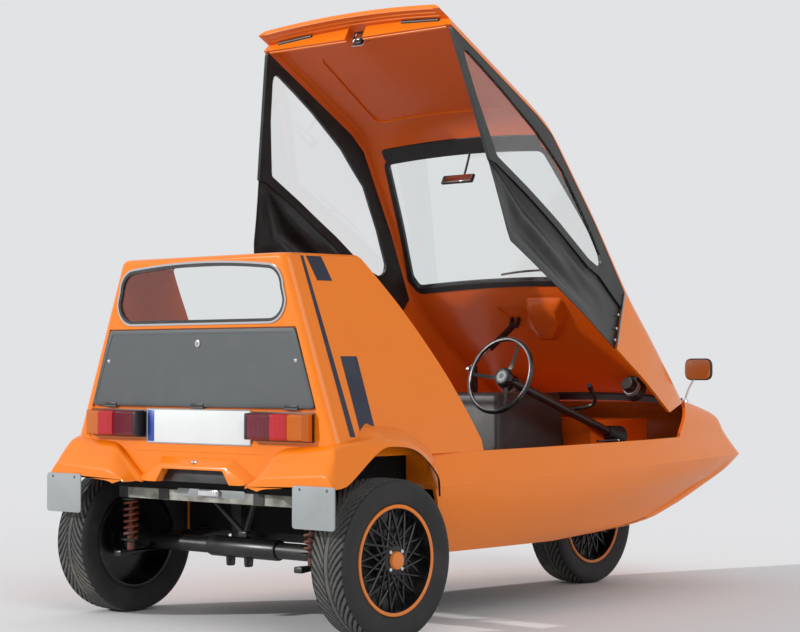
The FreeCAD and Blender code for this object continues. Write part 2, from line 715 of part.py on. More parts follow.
brackets = [block(-80, -70, -20, 20, 200, AXLE_Z - 20), block(10, 20, -20, 20, 200, AXLE_Z - 20)]
keep("rear_axle", fused(axle, sleeve, *carriers, *brackets))

link_apex = Vector(0, -4, AXLE_Z + size("axle_sleeve_radius") + 9)
link_arms = [bar(link_apex, Vector(side * 105, -60, TRAY - 36), 9, 8) for side in (-1, 1)]
link_tie = block(-RAIL_IN + 0.3, RAIL_IN - 0.3, -80, -40, TRAY - 40, TRAY - 0.3)
link_boss = block(-22, 22, -20, 12, link_apex.z - 8.7, link_apex.z + 14)
keep("axle_link", fused(link_tie, link_boss, *link_arms))

SPRING_LOW = AXLE_Z - 23.7
spring_core = bar(Vector(450, -135, SPRING_LOW), Vector(450, -135, TRAY - 40.3), 14)
spring_cup = bar(Vector(450, -135, SPRING_LOW), Vector(450, -135, AXLE_Z + 20), 36)
spring_coil = bar(Vector(450, -135, AXLE_Z + 19), Vector(450, -135, TRAY - 42), 33)
keep("coil_springs", both_sides(fused(spring_core, spring_cup, spring_coil)))

# Front end: steering head bridge on the chassis and the fork
HEAD_TOP = size("head_top_z")
bridge_legs = [block(RAIL_IN + 6, RAIL_OUT - 6, FRONT_AXLE - 30, FRONT_AXLE + 30, 370, HEAD_TOP).cut(rail)]
bridge_legs.append(mirrored(bridge_legs[0]))
bridge_bar = block(-RAIL_OUT + 6, RAIL_OUT - 6, FRONT_AXLE - 20, FRONT_AXLE + 20, HEAD_TOP - 36, HEAD_TOP)
HEAD_LOW = size("fork_crown_z") + size("fork_crown_height") + 4
head_tube = Part.makeCylinder(size("head_radius"), HEAD_TOP - HEAD_LOW, Vector(0, FRONT_AXLE, HEAD_LOW))
head_bore = Part.makeCylinder(size("stem_radius") + size("running_gap"), 200, Vector(0, FRONT_AXLE, HEAD_LOW - 20))
keep("steering_head", fused(bridge_bar, head_tube, *bridge_legs).cut(head_bore))

CROWN_Z = size("fork_crown_z")
LEG_X = size("fork_leg_x")
LEG_T = size("fork_leg_thickness")
LEG_D = size("fork_leg_depth") / 2
legs = [block(LEG_X, LEG_X + LEG_T, FRONT_AXLE - LEG_D, FRONT_AXLE + LEG_D, AXLE_Z - 30, CROWN_Z + 1)]
legs.append(mirrored(legs[0]))
crown = block(-LEG_X - LEG_T, LEG_X + LEG_T, FRONT_AXLE - LEG_D, FRONT_AXLE + LEG_D, CROWN_Z,
              CROWN_Z + size("fork_crown_height"))
stem = Part.makeCylinder(size("stem_radius"), HEAD_TOP + 4 - CROWN_Z, Vector(0, FRONT_AXLE, CROWN_Z))
nut = bar(Vector(0, FRONT_AXLE, HEAD_TOP + 1), Vector(0, FRONT_AXLE, HEAD_TOP + 13), 24, 6)
FORK_AXLE_R = 12
fork_axle = rod(Vector(-LEG_X - LEG_T - 12, FRONT_AXLE, AXLE_Z), Vector(LEG_X + LEG_T + 12, FRONT_AXLE, AXLE_Z),
                FORK_AXLE_R)
keep("front_fork", fused(crown, stem, nut, fork_axle, *legs))

# Wheels: tyre and rim are turned profiles about the X axis, outer side towards +X
TYRE_R = size("tyre_radius")
TYRE_HALF = size("tyre_width") / 2
BEAD = size("tyre_bead_radius")


RIM_SIDES = 36


def wheel_ring(x, radius):
    """Corners of one ring of a wheel."""
    turns = [2 * math.pi * k / RIM_SIDES for k in range(RIM_SIDES)]
    return [Vector(x, radius * math.sin(turn), radius * math.cos(turn)) for turn in turns]


def tyre_shape():
    """Tyre with a flat tread, cut shoulders and leaning side walls."""
    shoulder = (TYRE_HALF, TYRE_R - 22)
    foot = (TYRE_HALF - 20, BEAD)
    outline = [(-shoulder[0], shoulder[1]), (12 - TYRE_HALF, TYRE_R), (TYRE_HALF - 12, TYRE_R), shoulder]
    form = skinned([wheel_ring(x, r) for x, r in outline])
    lean = (shoulder[1] - foot[1]) / 20
    for side in (-1, 1):
        dish = [wheel_ring(side * foot[0], BEAD), wheel_ring(side * (TYRE_HALF + 2), shoulder[1] + 2 * lean)]
        form = form.cut(skinned(dish))
    return form.cut(regular_prism(BEAD, -100, 100, RIM_SIDES))


def rim_shape(bore, bore_end):
    """Rim: barrel with lips, a dished centre and crossing spokes."""
    well = size("rim_well_radius")
    lip = size("rim_lip_radius")
    lip_w = size("rim_lip_width")
    seat = BEAD - size("rim_bead_gap")
    half = TYRE_HALF - 20
    flange = half + 1.9
    blank = regular_prism(lip, -half - lip_w, half + lip_w, RIM_SIDES)
    groove = regular_prism(300, -flange, flange, RIM_SIDES).cut(regular_prism(seat, -flange, flange, RIM_SIDES))
    barrel = blank.cut(groove).cut(regular_prism(well, -100, 100, RIM_SIDES))
    face_x = half - 10
    hub = regular_prism(size("hub_radius"), face_x - size("disc_depth"), face_x, 24)
    cap = regular_prism(size("hub_cap_radius"), face_x - 1, face_x - 1 + size("hub_cap_height"), 24)
    web = regular_prism(well + 1, face_x - 34, face_x - 30, RIM_SIDES)
    spokes = []
    count = int(size("spoke_count"))
    for lean in (-1, 1):
        for index in range(count):
            length = size("spoke_length")
            depth = size("spoke_depth") / 2 - 0.2
            spoke = Part.makeBox(depth, size("spoke_width"), length,
                               Vector(face_x - depth * (1.5 + lean / 2) - lean * 0.2, -size("spoke_width") / 2, 0))
            spoke.rotate(Vector(), Vector(1, 0, 0), lean * size("spoke_lean"))
            spoke.translate(Vector(0, 0, size("hub_radius") - 14))
            spoke.rotate(Vector(), Vector(1, 0, 0), 360.0 * index / count)
            spokes.append(spoke)
    wheel = barrel.fuse([hub, cap, web, *spokes])
    return wheel.cut(Part.makeCylinder(bore, 150 + bore_end, Vector(-150, 0, 0), Vector(1, 0, 0)))


WHEELS = (
    # name, x, y, turned round, bore radius, bore end
    ("left", -size("tyre_wheel_offset"), 0, True, size("stub_radius"), size("stub_depth")),
    ("right", size("tyre_wheel_offset"), 0, False, size("stub_radius"), size("stub_depth")),
    ("front", 0, FRONT_AXLE, False, FORK_AXLE_R, 150),
)
for name, x, y, flipped, bore, bore_end in WHEELS:
    turn = Rotation(Vector(0, 0, 1), 180 if flipped else 0)
    place = BODY_PLACE.multiply(Placement(Vector(x, y, AXLE_Z), turn))
    keep(f"{name}_tyre", tyre_shape(), place)
    keep(f"{name}_rim", rim_shape(bore + size("running_gap"), bore_end), place)

# Canopy, drawn closed: sections across the car, each a crowned roof with leaning sides
CANOPY = (
    # y, foot half, top half, shoulder z, crown z
    (20, 668, 455, 1292, 1318),
    (78, 668, 460, 1290, 1316),
    (652, 664, 472, 1270, 1300),
    (751, 660, 480, 1252, 1280),
    (1097, 642, 522, 1066, 1090),
    (1386, 607, 560, 887, 912),
    (1620, 582, 545, 826, 850),
    (1920, 528, 500, 768, 792),
    (2050, 486, 466, 760, 778),
)
FOOT_Z = 600


def canopy_section(row, inset):
    """One closed section of the canopy form."""
    y, foot, top, shoulder, crown = row
    foot -= inset
    top -= inset
    roof = arc_points(Vector(top, y, shoulder - inset), Vector(0, y, crown - inset),
                      Vector(-top, y, shoulder - inset), 6)
    return [Vector(-foot, y, FOOT_Z), Vector(foot, y, FOOT_Z)] + roof


def canopy_form(inset):
    """Solid lofted through the canopy's sections."""
    return skinned([canopy_section(row, inset) for row in CANOPY])


CANOPY_LOW = level_height(SILL, 1400) + size("canopy_gap")
SIDE_TOP = [(652, 1236), (751, 1218), (1097, 1032), (1352, 872)]
shell_side = [
    (20, 1400), (20, 1277), (84, 1277), (84, 1250), *SIDE_TOP, (1352, CANOPY_LOW), (1885, CANOPY_LOW + 4),
    (2050, 768), (2050, 1400),
]
canopy_outer = canopy_form(0.0)
canopy_inner = canopy_form(size("canopy_wall")).cut(block(-450, 450, 10, 110, 1250, 1277))
canopy_inner = canopy_inner.cut(block(-450, 450, 84, 110, 1250, 1400))
skin = canopy_outer.cut(canopy_inner)
shell = skin.common(prism_x(shell_side, -900, 900))
SCREEN_PLAN = [(-405, 815), (405, 815), (520, 1290), (500, 1345), (-500, 1345), (-520, 1290)]
shell = shell.cut(prism_z(SCREEN_PLAN, 860, 1400))
canopy_knuckle = rod(Vector(HINGE_X, 0, 0) + HINGE, Vector(HINGE_X + 20, 0, 0) + HINGE, KNUCKLE)
canopy_leaf = block(HINGE_X, HINGE_X + 20, HINGE.y - 50, HINGE.y, HINGE.z - 12, HINGE.z)
canopy_hinge = fused(canopy_knuckle, canopy_leaf)
shell = fused(shell, canopy_hinge, mirrored(canopy_hinge))
STRUT_X = -90
STRUT_TOP = Vector(STRUT_X, 1524, 836)
strut_pin = rod(STRUT_TOP - Vector(18, 0, 0), STRUT_TOP + Vector(18, 0, 0), 5)
strut_ears = [block(x, x + 3, 1512, 1536, 828, 866) for x in (STRUT_X - 18, STRUT_X + 15)]
shell = fused(shell, strut_pin, *strut_ears)
hinge_bore = rod(Vector(-HINGE_X - 60, 0, 0) + HINGE, Vector(HINGE_X + 60, 0, 0) + HINGE, 4 + size("running_gap"))
knuckle_notch = rod(Vector(HINGE_X + 20.4, 0, 0) + HINGE, Vector(HINGE_X + 47, 0, 0) + HINGE, KNUCKLE + 3)
shell = shell.cut(hinge_bore).cut(both_sides(knuckle_notch))
keep("canopy_shell", shell, CANOPY_PLACE)

glass_skin = canopy_form(4.0).cut(canopy_form(4.0 + GLASS))
screen_plan_in = [(x - math.copysign(0.3, x), y + (0.3 if y < 900 else -0.3)) for x, y in SCREEN_PLAN]
keep("windscreen", glass_skin.common(prism_z(screen_plan_in, 860, 1400)), CANOPY_PLACE)

# Side screens: black frame, clear window and hanging skirt, all in the leaning side plane
frame_top = [(y - 0.2, z - 0.3) for y, z in SIDE_TOP]
frame_foot = [(1160, 835), (1073, 825), (850, 850), (612, 866), (420, 870), (384, 860)]
frame_side = [(92, 1249.4), *frame_top, (1351.7, 800), *frame_foot, (233, 1062)]
window_side = [(157, 1213), (430, 1176), (650, 1130), (846, 1090), (1023, 993), (1150, 920), (1168, 893),
               (1150, 868), (1073, 859), (850, 884), (612, 898), (425, 903), (280, 1059)]
skirt_side = [*[(y, z - 0.3) for y, z in reversed(frame_foot)], (1351.7, 799.7), (1351.7, CANOPY_LOW),
              (556, CANOPY_LOW), (526, 661), (474, 737), (428, 801)]
side_band = canopy_form(1.0).cut(canopy_form(13.0))
frames = side_band.common(prism_x(frame_side, -900, 900)).cut(prism_x(window_side, -900, 900))
frames = frames.cut(block(-440, 440, 0, 2100, 500, 1400))
keep("screen_frames", frames, CANOPY_PLACE)
window_in = [(660 + (y - 660) * 0.9992, 1020 + (z - 1020) * 0.9992) for y, z in window_side]
window_band = canopy_form(5.0).cut(canopy_form(8.0))
panes = window_band.common(prism_x(window_in, -900, 900)).cut(block(-440, 440, 0, 2100, 500, 1400))
keep("side_windows", panes, CANOPY_PLACE)
skirt_band = canopy_form(3.0).cut(canopy_form(11.0))
skirts = skirt_band.common(prism_x(skirt_side, -900, 900)).cut(block(-440, 440, 0, 2100, 500, 1400))
keep("side_skirts", skirts, CANOPY_PLACE)

# Headlamps behind the canopy's nose, mirror, latch and hinges
headlamp = bar(Vector(330, 1835, 720), Vector(330, 1915, 720), 55, 20)
lamp_hanger = block(310, 350, 1850, 1890, 750, 900)
headlamp = fused(headlamp, lamp_hanger).common(canopy_form(size("canopy_wall") + GAP))
keep("headlamps", both_sides(headlamp), CANOPY_PLACE)
stalk = bar(Vector(30, 826, 1247), Vector(30, 840, 1120), 5, 8)
mirror = block(-75, 85, 834, 850, 1092, 1128)
mirror = fused(stalk, mirror).common(canopy_form(8.3))
keep("interior_mirror", mirror, CANOPY_PLACE)
latch = block(-35, 35, 110.3, 136, 1236, 1320).common(canopy_form(size("canopy_wall") + GAP))
keep("roof_latch", latch, CANOPY_PLACE)

# Wing mirrors on the nose
lifted_nose = upper_outer.copy()
lifted_nose.translate(Vector(0, 0, GAP))
mirror_stem = bar(Vector(436, 2088, 745), Vector(470, 2107, 852), 5, 8).cut(lifted_nose)
mirror_head = Part.makeBox(130, 14, 90, Vector(425, 2100, 850))
keep("wing_mirrors", both_sides(fused(mirror_stem, mirror_head)))

# Support strut: barrel hung from the canopy, rod sliding in it, eye at a post on the engine cover
STRUT_FOOT = Vector(STRUT_X, 1327, 893)
STRUT_HEAD = CANOPY_TILT.multVec(STRUT_TOP)
STRUT_RUN = STRUT_FOOT - STRUT_HEAD
STRUT_LENGTH = STRUT_RUN.Length
STRUT_RUN.normalize()
BARREL_LENGTH = 182
ROD_LENGTH = 181
ROD_R = size("strut_rod_radius")
BARREL_R = size("strut_barrel_radius")
pin_axis = Vector(1, 0, 0)
barrel = bar(STRUT_HEAD + STRUT_RUN * 4, STRUT_HEAD + STRUT_RUN * BARREL_LENGTH, BARREL_R)
barrel_eye = Part.makeCylinder(11, 28, STRUT_HEAD - pin_axis * 14, pin_axis)
barrel = fused(barrel, barrel_eye)
barrel = barrel.cut(rod(STRUT_HEAD + STRUT_RUN * 16, STRUT_FOOT, ROD_R + size("running_gap")))
barrel = barrel.cut(Part.makeCylinder(5.4, 40, STRUT_HEAD - pin_axis * 20, pin_axis))
keep("strut_barrel", barrel)
rod_end = rod(STRUT_FOOT - STRUT_RUN * ROD_LENGTH, STRUT_FOOT - STRUT_RUN * 8, ROD_R)
rod_eye = Part.makeCylinder(11, 12, STRUT_FOOT - pin_axis * 6, pin_axis)
rod_piece = fused(rod_end, rod_eye).cut(Part.makeCylinder(5.5, 40, STRUT_FOOT - pin_axis * 20, pin_axis))
keep("strut_rod", rod_piece)
post = fused(block(STRUT_X + 20, STRUT_X + 28, 1307, 1347, 800.3, 905),
             Part.makeCylinder(5, 34, STRUT_FOOT - pin_axis * 7, pin_axis))
post_top = block(STRUT_X + 20, STRUT_X + 28, 1290, 1364, 796.8, 800.3)
keep("strut_post", fused(post, post_top).cut(cover))

# Catches along the sills
catch = block(562, 576, 1290, 1430, level_height(SILL, 1430) + 0.3, level_height(SILL, 1430) + 8)
keep("sill_catches", both_sides(catch))

doc.recompute()
for piece in doc.Objects:
    if "Invalid" in piece.State or "Error" in piece.State:
        raise RuntimeError(f"{piece.Label} failed: {piece.State}")
for piece in pieces:
    if piece.Shape.isNull() or not piece.Shape.isValid():
        raise RuntimeError(f"{piece.Label} has no valid shape")

os.makedirs("parts", exist_ok=True)
for piece in pieces:
    piece.Shape.exportStep(f"parts/{piece.Label}.step")
    print(piece.Label, len(piece.Shape.Solids), round(piece.Shape.Volume / 1e6, 3), piece.Shape.BoundBox)
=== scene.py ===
"""Looks of a three-wheeled microcar with its canopy tilted open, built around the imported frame.

Lengths in the tables are millimetres: x to the car's right, y forward from the rear axle and z up
from the ground.  Every mesh is made in metres, in the frame's own axes.
"""

from __future__ import annotations

import json
import logging
import math
from contextlib import contextmanager
from dataclasses import dataclass
from enum import Enum
from typing import Iterator, Sequence

import bmesh
import bpy
import numpy as np
from mathutils import Matrix, Vector


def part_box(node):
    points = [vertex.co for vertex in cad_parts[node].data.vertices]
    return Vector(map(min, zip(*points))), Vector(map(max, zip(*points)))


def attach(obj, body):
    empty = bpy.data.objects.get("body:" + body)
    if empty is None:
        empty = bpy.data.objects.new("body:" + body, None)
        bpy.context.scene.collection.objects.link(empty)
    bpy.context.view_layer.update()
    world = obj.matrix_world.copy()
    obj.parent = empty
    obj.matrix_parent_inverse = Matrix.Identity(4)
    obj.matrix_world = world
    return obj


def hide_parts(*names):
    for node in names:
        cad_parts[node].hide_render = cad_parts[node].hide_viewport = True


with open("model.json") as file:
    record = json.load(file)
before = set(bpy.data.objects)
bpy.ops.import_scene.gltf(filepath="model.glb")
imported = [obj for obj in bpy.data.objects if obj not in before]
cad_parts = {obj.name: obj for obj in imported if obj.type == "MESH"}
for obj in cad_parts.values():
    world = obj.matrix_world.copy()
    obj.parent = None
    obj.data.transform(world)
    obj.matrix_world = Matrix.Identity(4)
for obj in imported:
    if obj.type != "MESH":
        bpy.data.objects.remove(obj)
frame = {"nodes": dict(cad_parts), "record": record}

logging.basicConfig(level=logging.INFO, format="%(message)s")
log = logging.getLogger("microcar")

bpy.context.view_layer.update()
MM = 0.001
AXLE_Y = sum(corner.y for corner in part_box("left_tyre")) / 2
FRONT_Y = (sum(corner.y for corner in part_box("front_tyre")) / 2 - AXLE_Y) / MM

Ring = list[tuple[float, float, float]]
Pair = tuple[float, float]
Shape = bpy.types.Object

SIDES = (-1, 1)
THROUGH = (-900, 900)  # a cutter's ends, both outside the car
CORE = 0.2  # radius at which turned solids start, instead of at a point
WELD = 2e-6  # metres within which points join
SLIVER = 1e-6  # metres below which an edge is dissolved
STRAIGHT = math.radians(176)  # corners flatter than this stay as they are
FACING = 0.02  # least share of a face's normal that looks at a point


class Cut(Enum):
    """How one mesh changes another."""

    AWAY = "DIFFERENCE"
    WITHIN = "INTERSECT"
    JOIN = "UNION"


class Wire:
    """One output of a shader's node tree, with arithmetic that adds the nodes it needs."""

    def __init__(self, board: "Board", socket: bpy.types.NodeSocket) -> None:
        """Keep the tree and the socket."""
        self.board = board
        self.socket = socket

    def _maths(self, operation: str, first: "Wire | float", second: "Wire | float") -> "Wire":
        """Add one Math node."""
        return self.board.node("ShaderNodeMath", {"operation": operation}, {0: first, 1: second})

    def __add__(self, other: "Wire | float") -> "Wire":
        """Sum."""
        return self._maths("ADD", self, other)

    def __radd__(self, other: float) -> "Wire":
        """Sum with a number in front."""
        return self._maths("ADD", other, self)

    def __sub__(self, other: "Wire | float") -> "Wire":
        """Difference."""
        return self._maths("SUBTRACT", self, other)

    def __rsub__(self, other: float) -> "Wire":
        """A number less this."""
        return self._maths("SUBTRACT", other, self)

    def __mul__(self, other: "Wire | float") -> "Wire":
        """Product."""
        return self._maths("MULTIPLY", self, other)

    def __rmul__(self, other: float) -> "Wire":
        """Product with a number in front."""
        return self._maths("MULTIPLY", other, self)

    def __truediv__(self, other: "Wire | float") -> "Wire":
        """Quotient."""
        return self._maths("DIVIDE", self, other)

    def __rtruediv__(self, other: float) -> "Wire":
        """A number divided by this."""
        return self._maths("DIVIDE", other, self)

    def __pow__(self, other: "Wire | float") -> "Wire":
        """Power."""
        return self._maths("POWER", self, other)

    def above(self, level: float, spread: float) -> "Wire":
        """0 below a level and 1 above it, with a soft step.

        Args:
            level: Middle of the step.
            spread: Width of the step.

        Returns:
            A value from 0 to 1.
        """
        return self.board.node(
            "ShaderNodeMapRange",
            {"interpolation_type": "SMOOTHSTEP"},
            {"Value": self, "From Min": level - spread / 2, "From Max": level + spread / 2},
        )


class Board:
    """The node tree of one material, with its Principled shader."""

    def __init__(self, name: str) -> None:
        """Make the material.

        Args:
            name: The material's name.
        """
        self.material = bpy.data.materials.new(name)
        self.material.use_nodes = True
        self.tree = self.material.node_tree
        self.shader = next(n for n in self.tree.nodes if n.type == "BSDF_PRINCIPLED")
        self.place = self.node("ShaderNodeTexCoord", {}, {}, "Object")

    def node(self, kind: str, settings: dict, values: dict, output: int | str = 0) -> Wire:
        """Add any node.

        Args:
            kind: The node's type.
            settings: Its properties, set first.
            values: Numbers, vectors or wires for its inputs, by name or number.
            output: Which output to return.

        Returns:
            That output.
        """
        made = self.tree.nodes.new(kind)
        for key, value in settings.items():
            if key == "stops":
                self._stops(made.color_ramp, value)
            else:
                setattr(made, key, value)
        for key, value in values.items():
            self._feed(made.inputs[key], value)
        return Wire(self, made.outputs[output])

    def _stops(self, ramp: bpy.types.ColorRamp, stops: Sequence[tuple[float, tuple]]) -> None:
        """Fill a colour ramp.

        Args:
            ramp: The ramp.
            stops: Position and colour of each stop.
        """
        while len(ramp.elements) < len(stops):
            ramp.elements.new(1.0)
        for element, (position, colour) in zip(ramp.elements, stops):
            element.position = position
            element.color = colour

    def _feed(self, socket: bpy.types.NodeSocket, value: "Wire | float | Sequence[float]") -> None:
        """Link a wire to an input, or set the input's own value.

        Args:
            socket: The input.
            value: A wire, a number or a vector.
        """
        if isinstance(value, Wire):
            self.tree.links.new(value.socket, socket)
        else:
            socket.default_value = value

    def set(self, **values: "Wire | float | Sequence[float]") -> "Board":
        """Set inputs of the Principled shader.

        Args:
            **values: Input names with underscores for spaces.

        Returns:
            This board.
        """
        for key, value in values.items():
            self._feed(self.shader.inputs[key.replace("_", " ")], value)
        return self

    def blend(self, share: Wire | float, low: "Wire | Sequence[float]",
              high: "Wire | Sequence[float]") -> Wire:
        """Mix two colours.

        Args:
            share: 0 gives the first and 1 the second.
            low: First colour.
            high: Second colour.

        Returns:
            The mixed colour.
        """
        made = self.tree.nodes.new("ShaderNodeMix")
        made.data_type = "RGBA"
        self._feed(made.inputs[0], share)
        self._feed(made.inputs[6], low)
        self._feed(made.inputs[7], high)
        return Wire(self, made.outputs[2])

    def noise(self, scale: float, detail: float = 2.0, stretch: Sequence[float] = (1, 1, 1)) -> Wire:
        """Noise over the object."""
        place = self.node("ShaderNodeMapping", {}, {"Vector": self.place, "Scale": tuple(stretch)})
        return self.node("ShaderNodeTexNoise", {}, {"Vector": place, "Scale": scale, "Detail": detail})

    def height(self) -> Wire:
        """Height above the ground."""
        return self.node("ShaderNodeSeparateXYZ", {}, {"Vector": self.place}, "Z")

    def bump(self, height: Wire, depth: float, strength: float = 1.0) -> Wire:
        """Normal of a relief.

        Args:
            height: Relief from 0 to 1.
            depth: Its depth in metres.
            strength: Share of the relief that shows.

        Returns:
            A normal.
        """
        return self.node(
            "ShaderNodeBump", {}, {"Height": height, "Distance": depth, "Strength": strength}
        )


def linear(red: int, green: int, blue: int) -> tuple[float, float, float, float]:
    """Scene colour of a display colour.

    Args:
        red: 0 to 255.
        green: 0 to 255.
        blue: 0 to 255.

    Returns:
        Linear red, green, blue and an alpha of 1.
    """
    parts = []
    for part in (red, green, blue):
        share = part / 255
        parts.append(share / 12.92 if share <= 0.04045 else ((share + 0.055) / 1.055) ** 2.4)
    return (parts[0], parts[1], parts[2], 1.0)


@dataclass(frozen=True)
class GlossPaint:
    """Glossy pigmented fibreglass with a little road dust low down."""

    name: str
    colour: tuple
    roughness: float = 0.30
    coat: float = 0.5
    coat_roughness: float = 0.05
    dust: float = 0.12
    ripple: float = 0.0004

    def make(self) -> bpy.types.Material:
        """Build the finish.

        Returns:
            The material.
        """
        board = Board(self.name)
        patches = board.noise(6.0, 4.0)
        low_down = 1 - board.height().above(0.42, 0.30)
        film = (low_down * patches * self.dust * 2.0) + (board.noise(45.0, 3.0) * 0.03)
        deeper = tuple(part * 0.93 for part in self.colour[:3]) + (1.0,)
        base = board.blend(patches, deeper, self.colour)
        dusty = linear(150, 128, 100)
        board.set(
            Base_Color=board.blend(film, base, dusty),
            Roughness=self.roughness + film * 0.6,
            Coat_Weight=self.coat * (1 - film * 0.8),
            Coat_Roughness=self.coat_roughness,
            Specular_IOR_Level=0.2,
            Normal=board.bump(board.noise(16.0, 1.0), self.ripple, 0.35),
        )
        return board.material


@dataclass(frozen=True)
class Moulding:
    """Cabin moulding: glossy inside, with black on the faces that look away from the cabin or down, which is
    painted shade of the wheel arches and underside.
    """

    name: str
    colour: tuple
    shade_colour: tuple
    reach: float = 0.36

    def make(self) -> bpy.types.Material:
        """Build the finish.

        Returns:
            The material.
        """
        board = Board(self.name)
        geometry = board.node("ShaderNodeNewGeometry", {}, {}, "Normal")
        turned = [board.node("ShaderNodeSeparateXYZ", {}, {"Vector": geometry}, axis) for axis in "XYZ"]
        placed = [board.node("ShaderNodeSeparateXYZ", {}, {"Vector": board.place}, axis) for axis in "XY"]
        # Faces that look out sideways, back or down from the cabin get black here: painted shade.
        sideways = (turned[0] * placed[0]).above(self.reach, 0.02)
        behind = (turned[1] * placed[1]).above(0.45, 0.05)
        below = (turned[2] * -1.0).above(0.6, 0.1)
        outside = board.node("ShaderNodeMath", {"operation": "MAXIMUM"}, {0: sideways, 1: behind})
        outside = board.node("ShaderNodeMath", {"operation": "MAXIMUM"}, {0: outside, 1: below})
        patches = board.noise(7.0, 4.0)
        worn = board.blend(patches, self.colour, tuple(part * 0.85 for part in self.colour[:3]) + (1.0,))
        board.set(
            Base_Color=board.blend(outside, worn, self.shade_colour),
            Roughness=0.34 + outside * 0.4 + (patches - 0.5) * 0.1,
            Coat_Weight=0.5 * (1 - outside),
            Specular_IOR_Level=0.2,
            Normal=board.bump(board.noise(22.0, 2.0), 0.0006, 0.4),
        )
        return board.material


@dataclass(frozen=True)
class Grained:
    """Vinyl, moulded plastic or rubber with a fine grain."""

    name: str
    colour: tuple
    roughness: float = 0.55
    scale: float = 900.0
    depth: float = 0.0003
    scuff: float = 0.15
    scuff_colour: tuple = (0.25, 0.24, 0.22, 1.0)

    def make(self) -> bpy.types.Material:
        """Build the finish.

        Returns:
            The material.
        """
        board = Board(self.name)
        cells = board.node(
            "ShaderNodeTexVoronoi", {"feature": "SMOOTH_F1"},
            {"Vector": board.place, "Scale": self.scale, "Smoothness": 0.6},
        )
        patches = board.noise(9.0, 5.0)
        worn = patches.above(0.58, 0.25) * self.scuff
        board.set(
            Base_Color=board.blend(worn, self.colour, self.scuff_colour),
            Roughness=self.roughness + (patches - 0.5) * 0.2,
            Normal=board.bump(cells, self.depth, 0.6),
        )
        return board.material


@dataclass(frozen=True)
class Enamel:
    """Enamelled or bare steel with fine unevenness and grime."""

    name: str
    colour: tuple
    roughness: float = 0.4
    metallic: float = 0.0
    grime: float = 0.25
    grime_colour: tuple = (0.10, 0.085, 0.065, 1.0)

    def make(self) -> bpy.types.Material:
        """Build the finish.

        Returns:
            The material.
        """
        board = Board(self.name)
        dirt = board.noise(14.0, 6.0).above(0.55, 0.3) * self.grime
        board.set(
            Base_Color=board.blend(dirt, self.colour, self.grime_colour),
            Roughness=self.roughness + dirt * 0.5,
            Metallic=self.metallic * (1 - dirt) if self.metallic else 0.0,
            Normal=board.bump(board.noise(160.0, 3.0), 0.0004, 0.4),
        )
        return board.material


@dataclass(frozen=True)
class Clear:
    """Window glass, clear flexible sheet or a coloured lens."""

    name: str
    colour: tuple
    roughness: float = 0.02
    haze: float = 0.02
    ribs: float = 0.0
    solid: float = 0.0
    lets_sun: float = 0.0

    def make(self) -> bpy.types.Material:
        """Build the finish.

        Returns:
            The material.
        """
        board = Board(self.name)
        smear = board.noise(5.0, 5.0).above(0.55, 0.4)
        board.set(
            Base_Color=self.colour,
            Transmission_Weight=1.0 - self.solid,
            IOR=1.45,
            Roughness=self.roughness + smear * self.haze,
        )
        if self.lets_sun:
            lit = board.node("ShaderNodeLightPath", {}, {}, "Is Shadow Ray")
            board.set(Alpha=1 - lit * self.lets_sun)
        if self.ribs:
            across = board.node("ShaderNodeSeparateXYZ", {}, {"Vector": board.place}, "X")
            wave = board.node("ShaderNodeMath", {"operation": "SINE"}, {0: across * (math.tau / self.ribs)})
            board.set(Normal=board.bump(wave, 0.0012, 0.7))
        return board.material


